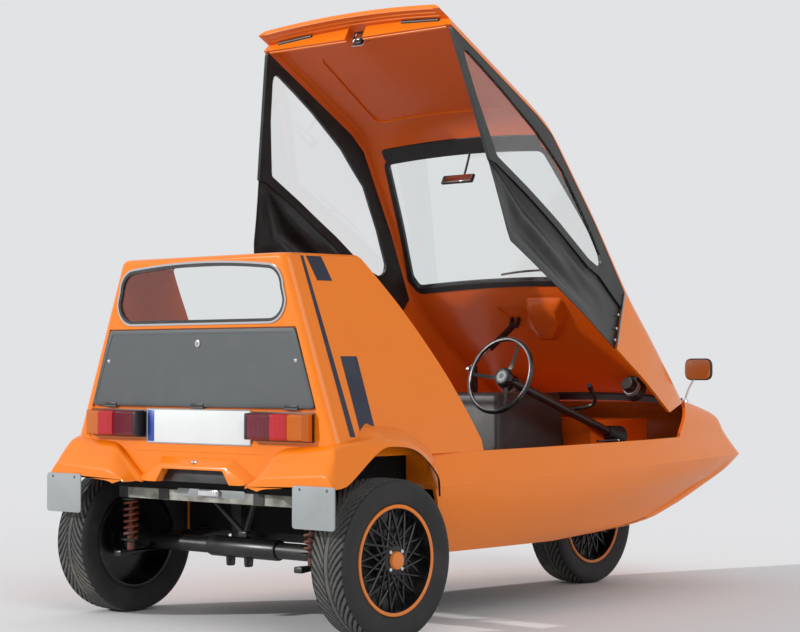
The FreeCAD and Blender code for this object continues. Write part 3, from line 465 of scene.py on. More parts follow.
class Finishes:
    """Every finish of the car, made once."""

    def __init__(self) -> None:
        """Make the materials."""
        orange = linear(247, 128, 8)
        # deep is a darker copy of the body orange for the inside faces: painted shade of the cabin, tail and
        # canopy insides.
        deep = linear(230, 96, 9)
        recipes = (
            GlossPaint("body_paint", orange),
            # inner_paint carries the darker orange, which is painted shade, onto the inner faces.
            GlossPaint("inner_paint", deep, 0.42, 0.5, 0.15, 0.35),
            # cabin_paint: the darker orange inside, and black as painted shade on the faces that look away
            # from the cabin.
            Moulding("cabin_paint", deep, linear(24, 24, 24)),
            Grained("tread_rubber", linear(78, 78, 76), 0.85, 200.0, 0.0005, 0.5, linear(122, 118, 108)),
            Grained("decal", linear(24, 30, 52), 0.35, 400.0, 0.0001, 0.05),
            Enamel("chassis_paint", linear(34, 34, 34), 0.5, 0.0, 0.5),
            Clear("clear_glass", (0.93, 0.96, 0.95, 1.0), 0.0, 0.01, lets_sun=0.85),
            Clear("clear_screen", (0.95, 0.96, 0.96, 1.0), 0.01, 0.04, lets_sun=0.85),
            Enamel("bright_trim", linear(214, 214, 216), 0.14, 1.0, 0.08),
            Clear("red_lens", linear(220, 16, 34), 0.08, 0.05, 0.006, 0.7),
            Clear("amber_lens", linear(240, 122, 26), 0.08, 0.05, 0.006, 0.7),
            Clear("plum_lens", linear(124, 18, 44), 0.08, 0.05, 0.006, 0.7),
            Enamel("plate_white", linear(228, 230, 228), 0.3, 0.0, 0.03),
            Enamel("plate_blue", linear(40, 72, 160), 0.3, 0.0, 0.1),
            Grained("flap_grey", linear(150, 155, 155), 0.5, 300.0, 0.0002, 0.3),
            Grained("black_vinyl", linear(17, 18, 19), 0.34, 700.0, 0.0003, 0.05),
            Grained("dark_vinyl", linear(40, 28, 26), 0.46, 600.0, 0.0004, 0.06),
            Enamel("engine_iron", linear(92, 92, 90), 0.6, 0.4, 0.6),
            Enamel("black_steel", linear(24, 24, 25), 0.32, 0.0, 0.15),
            Enamel("spring_paint", linear(116, 46, 22), 0.5, 0.0, 0.6),
            Grained("tyre_rubber", linear(30, 30, 31), 0.7, 260.0, 0.0003, 0.2, linear(80, 76, 70)),
            GlossPaint("rim_orange", orange, 0.35, 0.6, 0.12, 0.25),
            Enamel("mirror_glass", linear(196, 178, 176), 0.04, 1.0, 0.0),
            Clear("white_lens", (0.88, 0.90, 0.90, 1.0), 0.1, 0.05, 0.009, 0.7),
            Enamel("dull_panel", linear(168, 168, 158), 0.7, 0.0, 0.7),
            Enamel("rim_black", linear(16, 16, 18), 0.22, 0.0, 0.12),
            Grained("lamp_black", linear(20, 20, 21), 0.42, 500.0, 0.0002, 0.05),
            Grained("lid_grey", linear(74, 78, 79), 0.48, 620.0, 0.0004, 0.07, linear(120, 120, 116)),
            Grained("wheel_black", linear(20, 20, 21), 0.25, 500.0, 0.0001, 0.1),
        )
        self.made = {recipe.name: recipe.make() for recipe in recipes}

    def __getitem__(self, name: str) -> bpy.types.Material:
        """A finish by its name."""
        return self.made[name]


def place_point(x: float, y: float, z: float) -> Vector:
    """Frame position of a point of the car."""
    return Vector((x * MM, y * MM + AXLE_Y, z * MM))


def placed(name: str, data: bpy.types.ID) -> Shape:
    """Put a new object in the scene.

    Args:
        name: Its name.
        data: Its mesh, curve, camera or light.

    Returns:
        The object.
    """
    made = bpy.data.objects.new(name, data)
    bpy.context.scene.collection.objects.link(made)
    return made


@contextmanager
def editing(target: Shape) -> Iterator[bmesh.types.BMesh]:
    """Open an object's mesh for editing, and write it back afterwards.

    Args:
        target: The object.

    Yields:
        The open mesh.
    """
    work = bmesh.new()
    work.from_mesh(target.data)
    yield work
    work.to_mesh(target.data)
    work.free()


def arc(first: Pair, middle: Pair, last: Pair, steps: int) -> list[Pair]:
    """Points along the round arc through three points.

    Args:
        first: Start.
        middle: A point on the way.
        last: End.
        steps: Number of chords.

    Returns:
        The points, both ends included.
    """
    a, b, c = (complex(*p) for p in (first, middle, last))
    turn = (c - a) / (b - a)
    if abs(turn.imag) < 1e-9:
        return [(first[0] + (last[0] - first[0]) * k / steps, first[1] + (last[1] - first[1]) * k / steps)
                for k in range(steps + 1)]
    centre = (b - a) * (turn - abs(turn) ** 2) / (2j * turn.imag) + a
    start, end = a - centre, c - centre
    sweep = math.atan2((end / start).imag, (end / start).real)
    via = math.atan2(((b - centre) / start).imag, ((b - centre) / start).real)
    if via * sweep < 0 or abs(via) > abs(sweep):
        sweep -= math.copysign(math.tau, sweep)
    points = []
    for k in range(steps + 1):
        step = centre + start * complex(math.cos(sweep * k / steps), math.sin(sweep * k / steps))
        points.append((step.real, step.imag))
    return points


def eased(rings: Sequence[Ring], steps: int) -> list[Ring]:
    """Smooth rings between given ones, through each of them.

    Args:
        rings: Rings with as many points each.
        steps: New rings from one given ring to the next.

    Returns:
        All the rings.
    """
    table = np.array(rings, float)
    padded = np.concatenate([[2 * table[0] - table[1]], table, [2 * table[-1] - table[-2]]])
    found = []
    for k in range(len(table) - 1):
        before, low, high, after = padded[k:k + 4]
        for step in range(steps):
            t = step / steps
            curve = (2 * low + (high - before) * t + (2 * before - 5 * low + 4 * high - after) * t * t
                     + (3 * low - before - 3 * high + after) * t ** 3) / 2
            found.append([tuple(p) for p in curve])
    found.append([tuple(p) for p in table[-1]])
    return found


def rounded(outline: Sequence[Pair], radius: float, steps: int = 6) -> list[Pair]:
    """Outline with its corners rounded.

    Args:
        outline: Corners.
        radius: Radius of each corner, less where the sides are short.
        steps: Chords of each corner.

    Returns:
        The new outline.
    """
    points: list[Pair] = []
    count = len(outline)
    for number, spot in enumerate(outline):
        corner = Vector(spot)
        back = Vector(outline[number - 1]) - corner
        ahead = Vector(outline[(number + 1) % count]) - corner
        turn = back.angle(ahead)
        if turn > STRAIGHT:
            points.append(tuple(corner))
            continue
        reach = min(radius / math.tan(turn / 2), back.length * 0.46, ahead.length * 0.46)
        first = corner + back.normalized() * reach
        last = corner + ahead.normalized() * reach
        for step in range(steps + 1):
            t = step / steps
            points.append(tuple(first * (1 - t) ** 2 + corner * (2 * t * (1 - t)) + last * t * t))
    return points


def grown(outline: Sequence[Pair], gap: float) -> list[Pair]:
    """Outline moved outward, or inward by a negative gap.

    Args:
        outline: Corners.
        gap: How far.

    Returns:
        The new outline.
    """
    count = len(outline)
    turned = sum(outline[k - 1][0] * outline[k][1] - outline[k][0] * outline[k - 1][1] for k in range(count))
    way = 1.0 if turned > 0 else -1.0
    points: list[Pair] = []
    for number, spot in enumerate(outline):
        corner = Vector(spot)
        back = (corner - Vector(outline[number - 1])).normalized()
        ahead = (Vector(outline[(number + 1) % count]) - corner).normalized()
        first = Vector((back.y, -back.x)) * way
        second = Vector((ahead.y, -ahead.x)) * way
        shift = (first + second) / (1 + first.dot(second)) * gap
        points.append(tuple(corner + shift))
    return points


class Workshop:
    """Makes meshes and dresses them."""

    def __init__(self, finishes: Finishes) -> None:
        """Keep the finishes."""
        self.finishes = finishes

    def mesh(self, name: str, points: Sequence, faces: Sequence[Sequence[int]]) -> Shape:
        """Make an object from points of the car.

        Args:
            name: Its name.
            points: Corners in car millimetres.
            faces: Corner numbers of each face.

        Returns:
            The object.
        """
        data = bpy.data.meshes.new(name)
        data.from_pydata([place_point(*p) for p in points], [], [list(f) for f in faces])
        data.update()
        return placed(name, data)

    def skin(self, name: str, rings: Sequence[Ring], closed: bool = True) -> Shape:
        """Skin rings of points into one solid.

        Args:
            name: The object's name.
            rings: Rings with as many points each.
            closed: Whether each ring closes on itself and the ends are capped.

        Returns:
            The object.
        """
        count = len(rings[0])
        points = [p for ring in rings for p in ring]
        faces = []
        reach = count if closed else count - 1
        for row in range(len(rings) - 1):
            for k in range(reach):
                after = (k + 1) % count
                faces.append((row * count + k, row * count + after,
                              (row + 1) * count + after, (row + 1) * count + k))
        if closed:
            faces.append(tuple(range(count - 1, -1, -1)))
            faces.append(tuple((len(rings) - 1) * count + k for k in range(count)))
        made = self.mesh(name, points, faces)
        self.outward(made)
        return made

    def outward(self, target: Shape) -> None:
        """Turn all faces outward."""
        with editing(target) as work:
            bmesh.ops.recalc_face_normals(work, faces=work.faces)

    def prism(self, axis: str, outline: Sequence[Pair], low: float, high: float) -> Shape:
        """Solid with a flat outline between two planes.

        Args:
            axis: "x", "y" or "z", the way it runs.
            outline: Corners in the two other axes, in their order.
            low: First plane.
            high: Second plane.

        Returns:
            The object.
        """
        spots = {
            "x": lambda u, v, w: (w, u, v),
            "y": lambda u, v, w: (u, w, v),
            "z": lambda u, v, w: (u, v, w),
        }
        rings = [[spots[axis](u, v, w) for u, v in outline] for w in (low, high)]
        return self.skin("cutter", rings)

    def block(self, name: str, low: Sequence[float], high: Sequence[float]) -> Shape:
        """Box between two corners.

        Args:
            name: Its name.
            low: Lowest corner.
            high: Highest corner.

        Returns:
            The object.
        """
        ring = [(low[0], low[1]), (high[0], low[1]), (high[0], high[1]), (low[0], high[1])]
        made = self.prism("z", ring, low[2], high[2])
        made.name = name
        return made

    def freeze(self, target: Shape) -> Shape:
        """Turn an object's modifiers into its mesh.

        Args:
            target: The object.

        Returns:
            The same object.
        """
        graph = bpy.context.evaluated_depsgraph_get()
        fresh = bpy.data.meshes.new_from_object(target.evaluated_get(graph), depsgraph=graph)
        target.modifiers.clear()
        target.data = fresh
        return target

    def carve(self, target: Shape, tool: Shape, how: Cut = Cut.AWAY,
              keep: bool = False) -> Shape:
        """Change one mesh by another.

        Args:
            target: The mesh that changes.
            tool: The other mesh.
            how: What the change does.
            keep: Whether the tool stays.

        Returns:
            The changed object.
        """
        for shape in (target, tool):
            self.in_triangles(shape)
        step = target.modifiers.new("cut", "BOOLEAN")
        step.operation = how.value
        step.solver = "MANIFOLD"
        step.object = tool
        self.freeze(target)
        self.in_triangles(target)
        if not keep:
            bpy.data.objects.remove(tool)
        return target

    def cut(self, target: Shape, axis: str, outline: Sequence[Pair], low: float, high: float,
            how: Cut = Cut.AWAY) -> Shape:
        """Change a mesh by a prism."""
        return self.carve(target, self.prism(axis, outline, low, high), how)

    def hollow(self, target: Shape, low: Sequence[float], high: Sequence[float]) -> Shape:
        """Cut a box out of a mesh."""
        return self.carve(target, self.block("cutter", low, high))

    def in_triangles(self, target: Shape) -> None:
        """Rebuild a mesh from the triangles it is shown with, so that cuts stay exact.

        Args:
            target: The object.
        """
        target.data.calc_loop_triangles()
        faces = [tuple(part.vertices) for part in target.data.loop_triangles]
        fresh = bpy.data.meshes.new(target.name)
        fresh.from_pydata([tuple(v.co) for v in target.data.vertices], [], faces)
        fresh.update()
        target.data = fresh

    def mirror(self, target: Shape) -> Shape:
        """Add the same shape on the car's other side.

        Args:
            target: The object.

        Returns:
            The same object.
        """
        with editing(target) as work:
            twin = bmesh.ops.duplicate(work, geom=work.verts[:] + work.edges[:] + work.faces[:])["geom"]
            verts = [g for g in twin if isinstance(g, bmesh.types.BMVert)]
            faces = [g for g in twin if isinstance(g, bmesh.types.BMFace)]
            bmesh.ops.scale(work, vec=(-1, 1, 1), verts=verts)
            bmesh.ops.reverse_faces(work, faces=faces)
        return target

    def soften(self, target: Shape, width: float, segments: int = 3,
               angle: float = 40.0) -> Shape:
        """Round the sharp edges.

        Args:
            target: The object.
            width: Bevel width in millimetres.
            segments: Steps across the bevel.
            angle: Edges sharper than this, in degrees, are rounded.

        Returns:
            The same object.
        """
        step = target.modifiers.new("soften", "BEVEL")
        step.width = width * MM
        step.segments = segments
        step.limit_method = "ANGLE"
        step.angle_limit = math.radians(angle)
        step.harden_normals = False
        return self.freeze(target)

    def tube(self, name: str, points: Sequence, radius: float, smooth: bool = True,
             sides: int = 12) -> Shape:
        """Round bar along points.

        Args:
            name: Its name.
            points: Points of the car on the bar's line.
            radius: Millimetres.
            smooth: Whether the line bends smoothly between points.
            sides: Sides of the bar's section.

        Returns:
            The object, as a mesh.
        """
        curve = bpy.data.curves.new(name, "CURVE")
        curve.dimensions = "3D"
        curve.bevel_depth = radius * MM
        curve.bevel_resolution = max(1, sides // 4 - 1)
        curve.use_fill_caps = True
        line = curve.splines.new("NURBS" if smooth else "POLY")
        line.points.add(len(points) - 1)
        for spot, p in zip(line.points, points):
            spot.co = (*place_point(*p), 1)
        if smooth:
            line.order_u = min(4, len(points))
            line.use_endpoint_u = True
            line.resolution_u = 6
        made = placed(name, curve)
        graph = bpy.context.evaluated_depsgraph_get()
        data = bpy.data.meshes.new_from_object(made.evaluated_get(graph), depsgraph=graph)
        bpy.data.objects.remove(made)
        return placed(name, data)

    def bar(self, name: str, points: Sequence, radius: float, sides: int = 12) -> Shape:
        """Round bar with straight runs between its points."""
        return self.tube(name, points, radius, smooth=False, sides=sides)

    def twins(self, name: str, lines: Sequence, radius: float, finish: str) -> Shape:
        """Painted bars along lines on the right and their twins on the left, in one object.

        Args:
            name: Name of the object.
            lines: Lines of places on the right side, in mm.
            radius: Radius of the bars, in mm.
            finish: Name of the paint.

        Returns:
            The painted object.
        """
        bars = [self.bar("bar", [(side * x, y, z) for x, y, z in line], radius) for side in SIDES
                for line in lines]
        return self.paint(self.join(name, bars), finish)

    def spun(self, name: str, outline: Sequence[Pair], centre: Sequence[float], axis: str = "X",
             steps: int = 64, closed: bool = True) -> Shape:
        """Solid turned about an axis.

        Args:
            name: Its name.
            outline: (distance along the axis, radius) corners.
            centre: Point on the axis that the distances start from.
            axis: "X", "Y" or "Z".
            steps: Facets round the axis.
            closed: Whether the outline closes on itself.

        Returns:
            The object.
        """
        spots = {
            "X": lambda s, u, v: (s, u, v),
            "Y": lambda s, u, v: (u, s, v),
            "Z": lambda s, u, v: (u, v, s),
        }
        line = list(outline) + [outline[0]] if closed else list(outline)
        rings = []
        for k in range(steps + 1):
            turn = math.tau * (k % steps) / steps
            ring = [spots[axis](s, r * math.sin(turn), r * math.cos(turn)) for s, r in line]
            rings.append([tuple(c + p for c, p in zip(centre, spot)) for spot in ring])
        return self.weld(self.skin(name, rings, closed=False))

    def weld(self, target: Shape) -> Shape:
        """Join points that lie on each other and turn all faces outward.

        Args:
            target: The object.

        Returns:
            The same object.
        """
        with editing(target) as work:
            bmesh.ops.remove_doubles(work, verts=work.verts, dist=WELD)
            bmesh.ops.dissolve_degenerate(work, edges=work.edges, dist=SLIVER)
            bmesh.ops.recalc_face_normals(work, faces=work.faces)
        return target

    def brick(self, name: str, low: Sequence[float], high: Sequence[float], width: float, segments: int,
              finish: str) -> Shape:
        """Painted box with rounded edges."""
        return self.paint(self.soften(self.block(name, low, high), width, segments), finish)

    def slab(self, axis: str, outline: Sequence[Pair], low: float, high: float, width: float, segments: int,
             finish: str) -> Shape:
        """Painted prism with rounded edges."""
        return self.paint(self.soften(self.prism(axis, outline, low, high), width, segments), finish)

    def line_inside(self, target: Shape, finish: str, eye: Sequence[float]) -> None:
        """Give the faces that look at a point inside the car another finish.

        Args:
            target: The object.
            finish: The finish of its inner side.
            eye: Point of the car inside the hollow.
        """
        target.data.materials.append(self.finishes[finish])
        last = len(target.data.materials) - 1
        spot = place_point(*eye)
        for face in target.data.polygons:
            if face.normal.dot((spot - face.center).normalized()) > FACING:
                face.material_index = last

    def join(self, name: str, pieces: Sequence[Shape]) -> Shape:
        """Put several meshes in one object, with their materials.

        Args:
            name: The object's name.
            pieces: The meshes, which are removed.

        Returns:
            The object.
        """
        work = bmesh.new()
        slots: list[bpy.types.Material] = []
        for piece in pieces:
            before = len(work.faces)
            work.from_mesh(piece.data)
            work.faces.ensure_lookup_table()
            own = list(piece.data.materials)
            for face in work.faces[before:]:
                material = own[face.material_index] if own else None
                if material is not None:
                    if material not in slots:
                        slots.append(material)
                    face.material_index = slots.index(material)
            bpy.data.objects.remove(piece)
        data = bpy.data.meshes.new(name)
        work.to_mesh(data)
        work.free()
        for material in slots:
            data.materials.append(material)
        return placed(name, data)

    def paint(self, target: Shape, finish: str, angle: float = 32.0) -> Shape:
        """Give a mesh its finish and smooth shading.

        Args:
            target: The object.
            finish: The finish's name.
            angle: Edges sharper than this, in degrees, stay sharp.

        Returns:
            The same object.
        """
        target.data.materials.clear()
        target.data.materials.append(self.finishes[finish])
        target.data.shade_smooth()
        target.data.set_sharp_from_angle(angle=math.radians(angle))
        return target

    def fit(self, target: Shape, body: str, slot: str, *nodes: str) -> Shape:
        """Let a piece ride on a body and stand for the CAD nodes it replaces.

        Args:
            target: The piece.
            body: The body's name.
            slot: The record's material slot; not used.
            *nodes: The CAD nodes it replaces.

        Returns:
            The same object.
        """
        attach(target, body)
        if nodes:
            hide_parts(*nodes)
        log.info("%s: %d faces on %s", target.name, len(target.data.polygons), body)
        return target


@dataclass(frozen=True)
class Level:
    """One level of the hull: tilted height, half widths, and how far forward each one is."""

    rear_z: float
    nose_z: float
    rear: float
    mid: float
    mid_y: float
    corner: float
    corner_y: float
    front: float
    front_y: float
    tip: float


@dataclass
class Hull:
    """Skins of the lower tub, and of the sills and nose above it."""

    rear_end: float = 230.0
    nose_y: float = 2488.0
    wall: float = 12.0
    inner_half: float = 540.0
    arch_y: float = -15.0
    arch_z: float = 340.0
    arch_radius: float = 295.0
    hinge_y: float = 2050.0
    hinge_z: float = 770.0
    levels: tuple = (
        Level(262, 262, 590, 590, 600, 570, 1000, 450, 1092, 1110),
        Level(290, 300, 603, 600, 900, 555, 1500, 430, 1646, 1666),
        Level(330, 352, 618, 610, 1100, 520, 1790, 400, 1944, 1962),
        Level(385, 420, 637, 626, 1200, 485, 2070, 370, 2212, 2228),
        Level(440, 482, 653, 636, 1250, 490, 2260, 350, 2386, 2400),
        Level(493, 541, 661, 640, 1250, 505, 2370, 350, 2474, 2488),
    )
    sill: Level = Level(604, 628, 628, 614, 1250, 455, 2335, 320, 2428, 2440)
    nose: tuple = (
        Level(680, 694, 605, 600, 1250, 450, 2290, 300, 2377, 2388),
        Level(722, 735, 588, 590, 1250, 455, 2170, 300, 2252, 2263),
        Level(763, 773, 560, 565, 1250, 470, 1985, 330, 2062, 2072),
    )

    def height(self, level: Level, y: float) -> float:
        """Height of a tilted level at a distance forward of the rear axle."""
        share = (y - self.rear_end) / (self.nose_y - self.rear_end)
        return level.rear_z + (level.nose_z - level.rear_z) * share

    def ring(self, level: Level, inset: float = 0.0, lift: float = 0.0) -> Ring:
        """Outline of one level.

        Args:
            level: The level.
            inset: How far the outline is drawn in.
            lift: How far it is raised.

        Returns:
            Its points, from the right rear round the nose to the left rear.
        """
        near = (level.rear - inset, self.rear_end + inset)
        waist = (level.mid - inset, level.mid_y)
        corner = (level.corner - inset, level.corner_y - inset)
        bend = (0.75 * level.corner + 0.25 * level.front - inset,
                0.25 * level.corner_y + 0.75 * level.front_y - inset)
        front = (level.front - inset, level.front_y - inset)
        tip = (0.0, level.tip - inset)
        side = arc(near, waist, corner, 24)
        turn = arc(corner, bend, front, 10)
        bow = arc(front, tip, (-front[0], front[1]), 16)
        half = side[:-1] + turn[:-1] + bow[:8]
        plan = half + [tip] + [(-x, y) for x, y in reversed(half)]
        return [(x, y, self.height(level, y) + lift) for x, y in plan]

    def form(self, shop: Workshop, levels: Sequence[Level], inset: float = 0.0,
             foot: float = 0.0, head: float = 0.0) -> Shape:
        """Solid form of the hull between its lowest and highest level.

        Args:
            shop: The workshop.
            levels: The levels.
            inset: How far the form is drawn in.
            foot: How far its lowest level is raised.
            head: How far its highest level is raised.

        Returns:
            The object.
        """
        rings = []
        for number, level in enumerate(levels):
            lift = foot if number == 0 else head if number == len(levels) - 1 else 0.0
            rings.append(self.ring(level, inset, lift))
        return shop.skin("hull", eased(rings, 5))

    def arches(self, shop: Workshop) -> list[Shape]:
        """Cutters of the two rear wheel arches.

        Args:
            shop: The workshop.

        Returns:
            The two cutters.
        """
        round_part = [(self.arch_y + self.arch_radius * math.cos(math.radians(a)),
                       self.arch_z + self.arch_radius * math.sin(math.radians(a))) for a in range(0, 181, 5)]
        outline = [(self.arch_y + self.arch_radius, 40), *round_part, (self.arch_y - self.arch_radius, 40)]
        inside = self.inner_half + self.wall
        return [shop.prism("x", outline, inside, THROUGH[1]), shop.prism("x", outline, THROUGH[0], -inside)]

    def _close(self, shop: Workshop, skin: Shape, lining: str, eye: Sequence[float],
               *nodes: str) -> None:
        """Cut the wheel arches into a skin of the hull, dress it and fit it.

        Args:
            shop: The workshop.
            skin: The skin.
            lining: The finish of its inner side.
            eye: Point of the car inside the hollow.
            *nodes: The CAD nodes it replaces.
        """
        for cutter in self.arches(shop):
            shop.carve(skin, cutter)
        shop.paint(skin, "body_paint")
        shop.line_inside(skin, lining, eye)
        shop.fit(skin, "body", "body_paint", *nodes)

    def build_tub(self, shop: Workshop) -> None:
        """Skirt round the floor, replacing the plain one.

        Args:
            shop: The workshop.
        """
        tub = self.form(shop, self.levels)
        shop.carve(tub, self.form(shop, self.levels, self.wall, self.wall, 0.5))
        half = self.inner_half
        shop.hollow(tub, (-half + 20, self.rear_end - 10, 200), (half - 20, 1500, 290))
        shop.hollow(tub, (-300, 1480, 200), (300, 2290, 520))
        shop.hollow(tub, (-half, self.rear_end - 10, 200), (half, self.rear_end + 60, 600))
        tub.name = "tub_skin"
        self._close(shop, tub, "chassis_paint", (0.0, 1200.0, 600.0), "lower_tub")

    def build_upper(self, shop: Workshop) -> None:
        """Sills and nose as one moulding above the waist crease.

        Args:
            shop: The workshop.
        """
        levels = (self.levels[-1], self.sill, *self.nose)
        upper = self.form(shop, levels)
        shop.carve(upper, self.form(shop, levels, self.wall, -0.5, -self.wall))
        front = (self.hinge_y + 8, self.hinge_z + 6)
        side = [(0, self.height(self.sill, 0)), (1895, self.height(self.sill, 1895)), front, (front[0], 1000),
                (0, 1000)]
        shop.cut(upper, "x", side, *THROUGH)
        plan = [(-self.inner_half, self.rear_end + 20), (self.inner_half, self.rear_end + 20),
                (self.inner_half, 1250), (505, 1640), (440, 1990), (430, front[0]), (-430, front[0]),
                (-440, 1990), (-505, 1640), (-self.inner_half, 1250)]
        shop.cut(upper, "z", plan, 400, 1000)
        half = self.inner_half
        shop.hollow(upper, (-half, self.rear_end - 10, 400), (half, self.rear_end + 60, 700))
        upper.name = "upper_body_skin"
        self._close(shop, upper, "inner_paint", (0.0, 1300.0, 580.0), "nose_shell", "sill_left", "sill_right")


@dataclass
class Tail:
    """Tail moulding, with the outlines of its window and boot lid."""

    rear_y: float = -228.0
    top_z: float = 1272.0
    base_z: float = 632.0
    base_half: float = 654.0
    top_half: float = 414.0
    low_z: float = 560.0
    front_y: float = 620.0
    front_halves: Pair = (628.0, 606.0)
    corner: float = 40.0
    wall: float = 14.0
    slope: tuple = ((60, 1400), (60, 1270), (193, 1103), (377, 858), (527, 644), (560, 500), (900, 500),
                    (900, 1400))

    def half(self, z: float) -> float:
        """Half width of the rear face at a height."""
        share = (self.top_z - z) / (self.top_z - self.base_z)
        return self.top_half + (self.base_half - self.top_half) * share

    def side_x(self, y: float, z: float) -> float:
        """Half width of the side at a place.

        Args:
            y: Place along the car, in mm.
            z: Height, in mm.

        Returns:
            The half width, in mm.
        """
        share = (z - self.low_z) / (self.top_z - self.low_z)
        ahead = self.front_halves[0] + (self.front_halves[1] - self.front_halves[0]) * share
        start = self.rear_y + self.corner
        return self.half(z) + (ahead - self.half(z)) * (y - start) / (self.front_y - start)

    def form(self, shop: Workshop, inset: float) -> Shape:
        """Tapered block with rounded corners and roof edges.

        Args:
            shop: The workshop.
            inset: How far it is drawn in.

        Returns:
            The object.
        """
        round_edge = 17.0
        tall = self.top_z - self.low_z
        depths = [(tall + (round_edge - tall) * k / 28, 0.0) for k in range(29)]
        for step in range(1, 9):
            turn = math.radians(90 * step / 8)
            depths.append((round_edge * (1 - math.sin(turn)), round_edge * (1 - math.cos(turn))))
        rings = []
        for depth, drawn_in in depths:
            z = self.top_z - depth - inset
            share = (z - self.low_z) / (self.top_z - self.low_z)
            rear = self.rear_y + inset + drawn_in
            half = self.half(z) - inset - drawn_in
            ahead = self.front_halves[0] + (self.front_halves[1] - self.front_halves[0]) * share
            ahead -= inset + drawn_in
            slant = self.corner * (1 - math.sqrt(0.5))
            turn_points = arc((half - self.corner, rear), (half - slant, rear + slant),
                              (half, rear + self.corner), 8)
            bend = turn_points[-1]
            right = turn_points + [(bend[0] + (ahead - bend[0]) * k / 16,
                                    bend[1] + (self.front_y + inset - bend[1]) * k / 16)
                                   for k in range(1, 17)]
            plan = right + [(-x, y) for x, y in reversed(right)]
            rings.append([(x, y, z) for x, y in plan])
        return shop.skin("tail", rings)

    def lid_outline(self, gap: float) -> list[Pair]:
        """Boot lid corners grown by a gap."""
        return [(-554 - gap, 758 - gap), (554 + gap, 758 - gap), (460 + gap, 1023 + gap),
                (-460 - gap, 1023 + gap)]

    def window_outline(self, gap: float) -> list[Pair]:
        """Rear window outline grown by a gap.

        Args:
            gap: How far the outline is grown, in mm.

        Returns:
            Corners as x and z, in mm.
        """
        half, low, high = 412 + gap, 1047 - gap, 1245 + gap
        corner = 70 + gap
        slant = 0.707 * corner
        lower = arc((half - corner, low), (half - corner + slant, low + corner - slant),
                    (half, low + corner), 8)
        upper = arc((half - 12, high - corner - 16), (half - 12 - corner + slant, high - 16 - corner + slant),
                    (half - 12 - corner, high - 16), 8)
        bow = arc((half - 12 - corner, high - 16), (0, high), (-half + 12 + corner, high - 16), 16)
        right = lower + upper + bow[1:8]
        return right + [(0.0, high)] + [(-x, z) for x, z in reversed(right)]

    def build_shell(self, shop: Workshop, hull: Hull) -> None:
        """Tail moulding with its window and lid openings.

        Args:
            shop: The workshop.
            hull: The hull below the tail.
        """
        tail = self.form(shop, 0.0)
        shop.carve(tail, self.form(shop, self.wall))
        rear = self.rear_y
        shop.cut(tail, "y", self.window_outline(0.0), rear - 40, rear + 60)
        shop.cut(tail, "y", self.lid_outline(-14.0), rear - 40, rear + 60)
        shop.cut(tail, "y", self.lid_outline(4.0), rear - 41, rear + 8)
        niche = rounded([(-577, 640), (577, 640), (563, 753), (-563, 753)], 26.0)
        shop.cut(tail, "y", niche, rear - 41, rear + 3)
        shop.cut(tail, "x", self.slope, *THROUGH)
        foot = [(-400, 400), (700, 400), (700, hull.height(hull.sill, 700)),
                (hull.rear_end, hull.height(hull.sill, hull.rear_end)),
                (-400, hull.height(hull.sill, hull.rear_end))]
        shop.cut(tail, "x", foot, *THROUGH)
        tail.name = "tail_skin"
        shop.paint(tail, "body_paint")
        shop.line_inside(tail, "inner_paint", (0.0, 300.0, 800.0))
        shop.fit(tail, "body", "body_paint", "tail_shell")


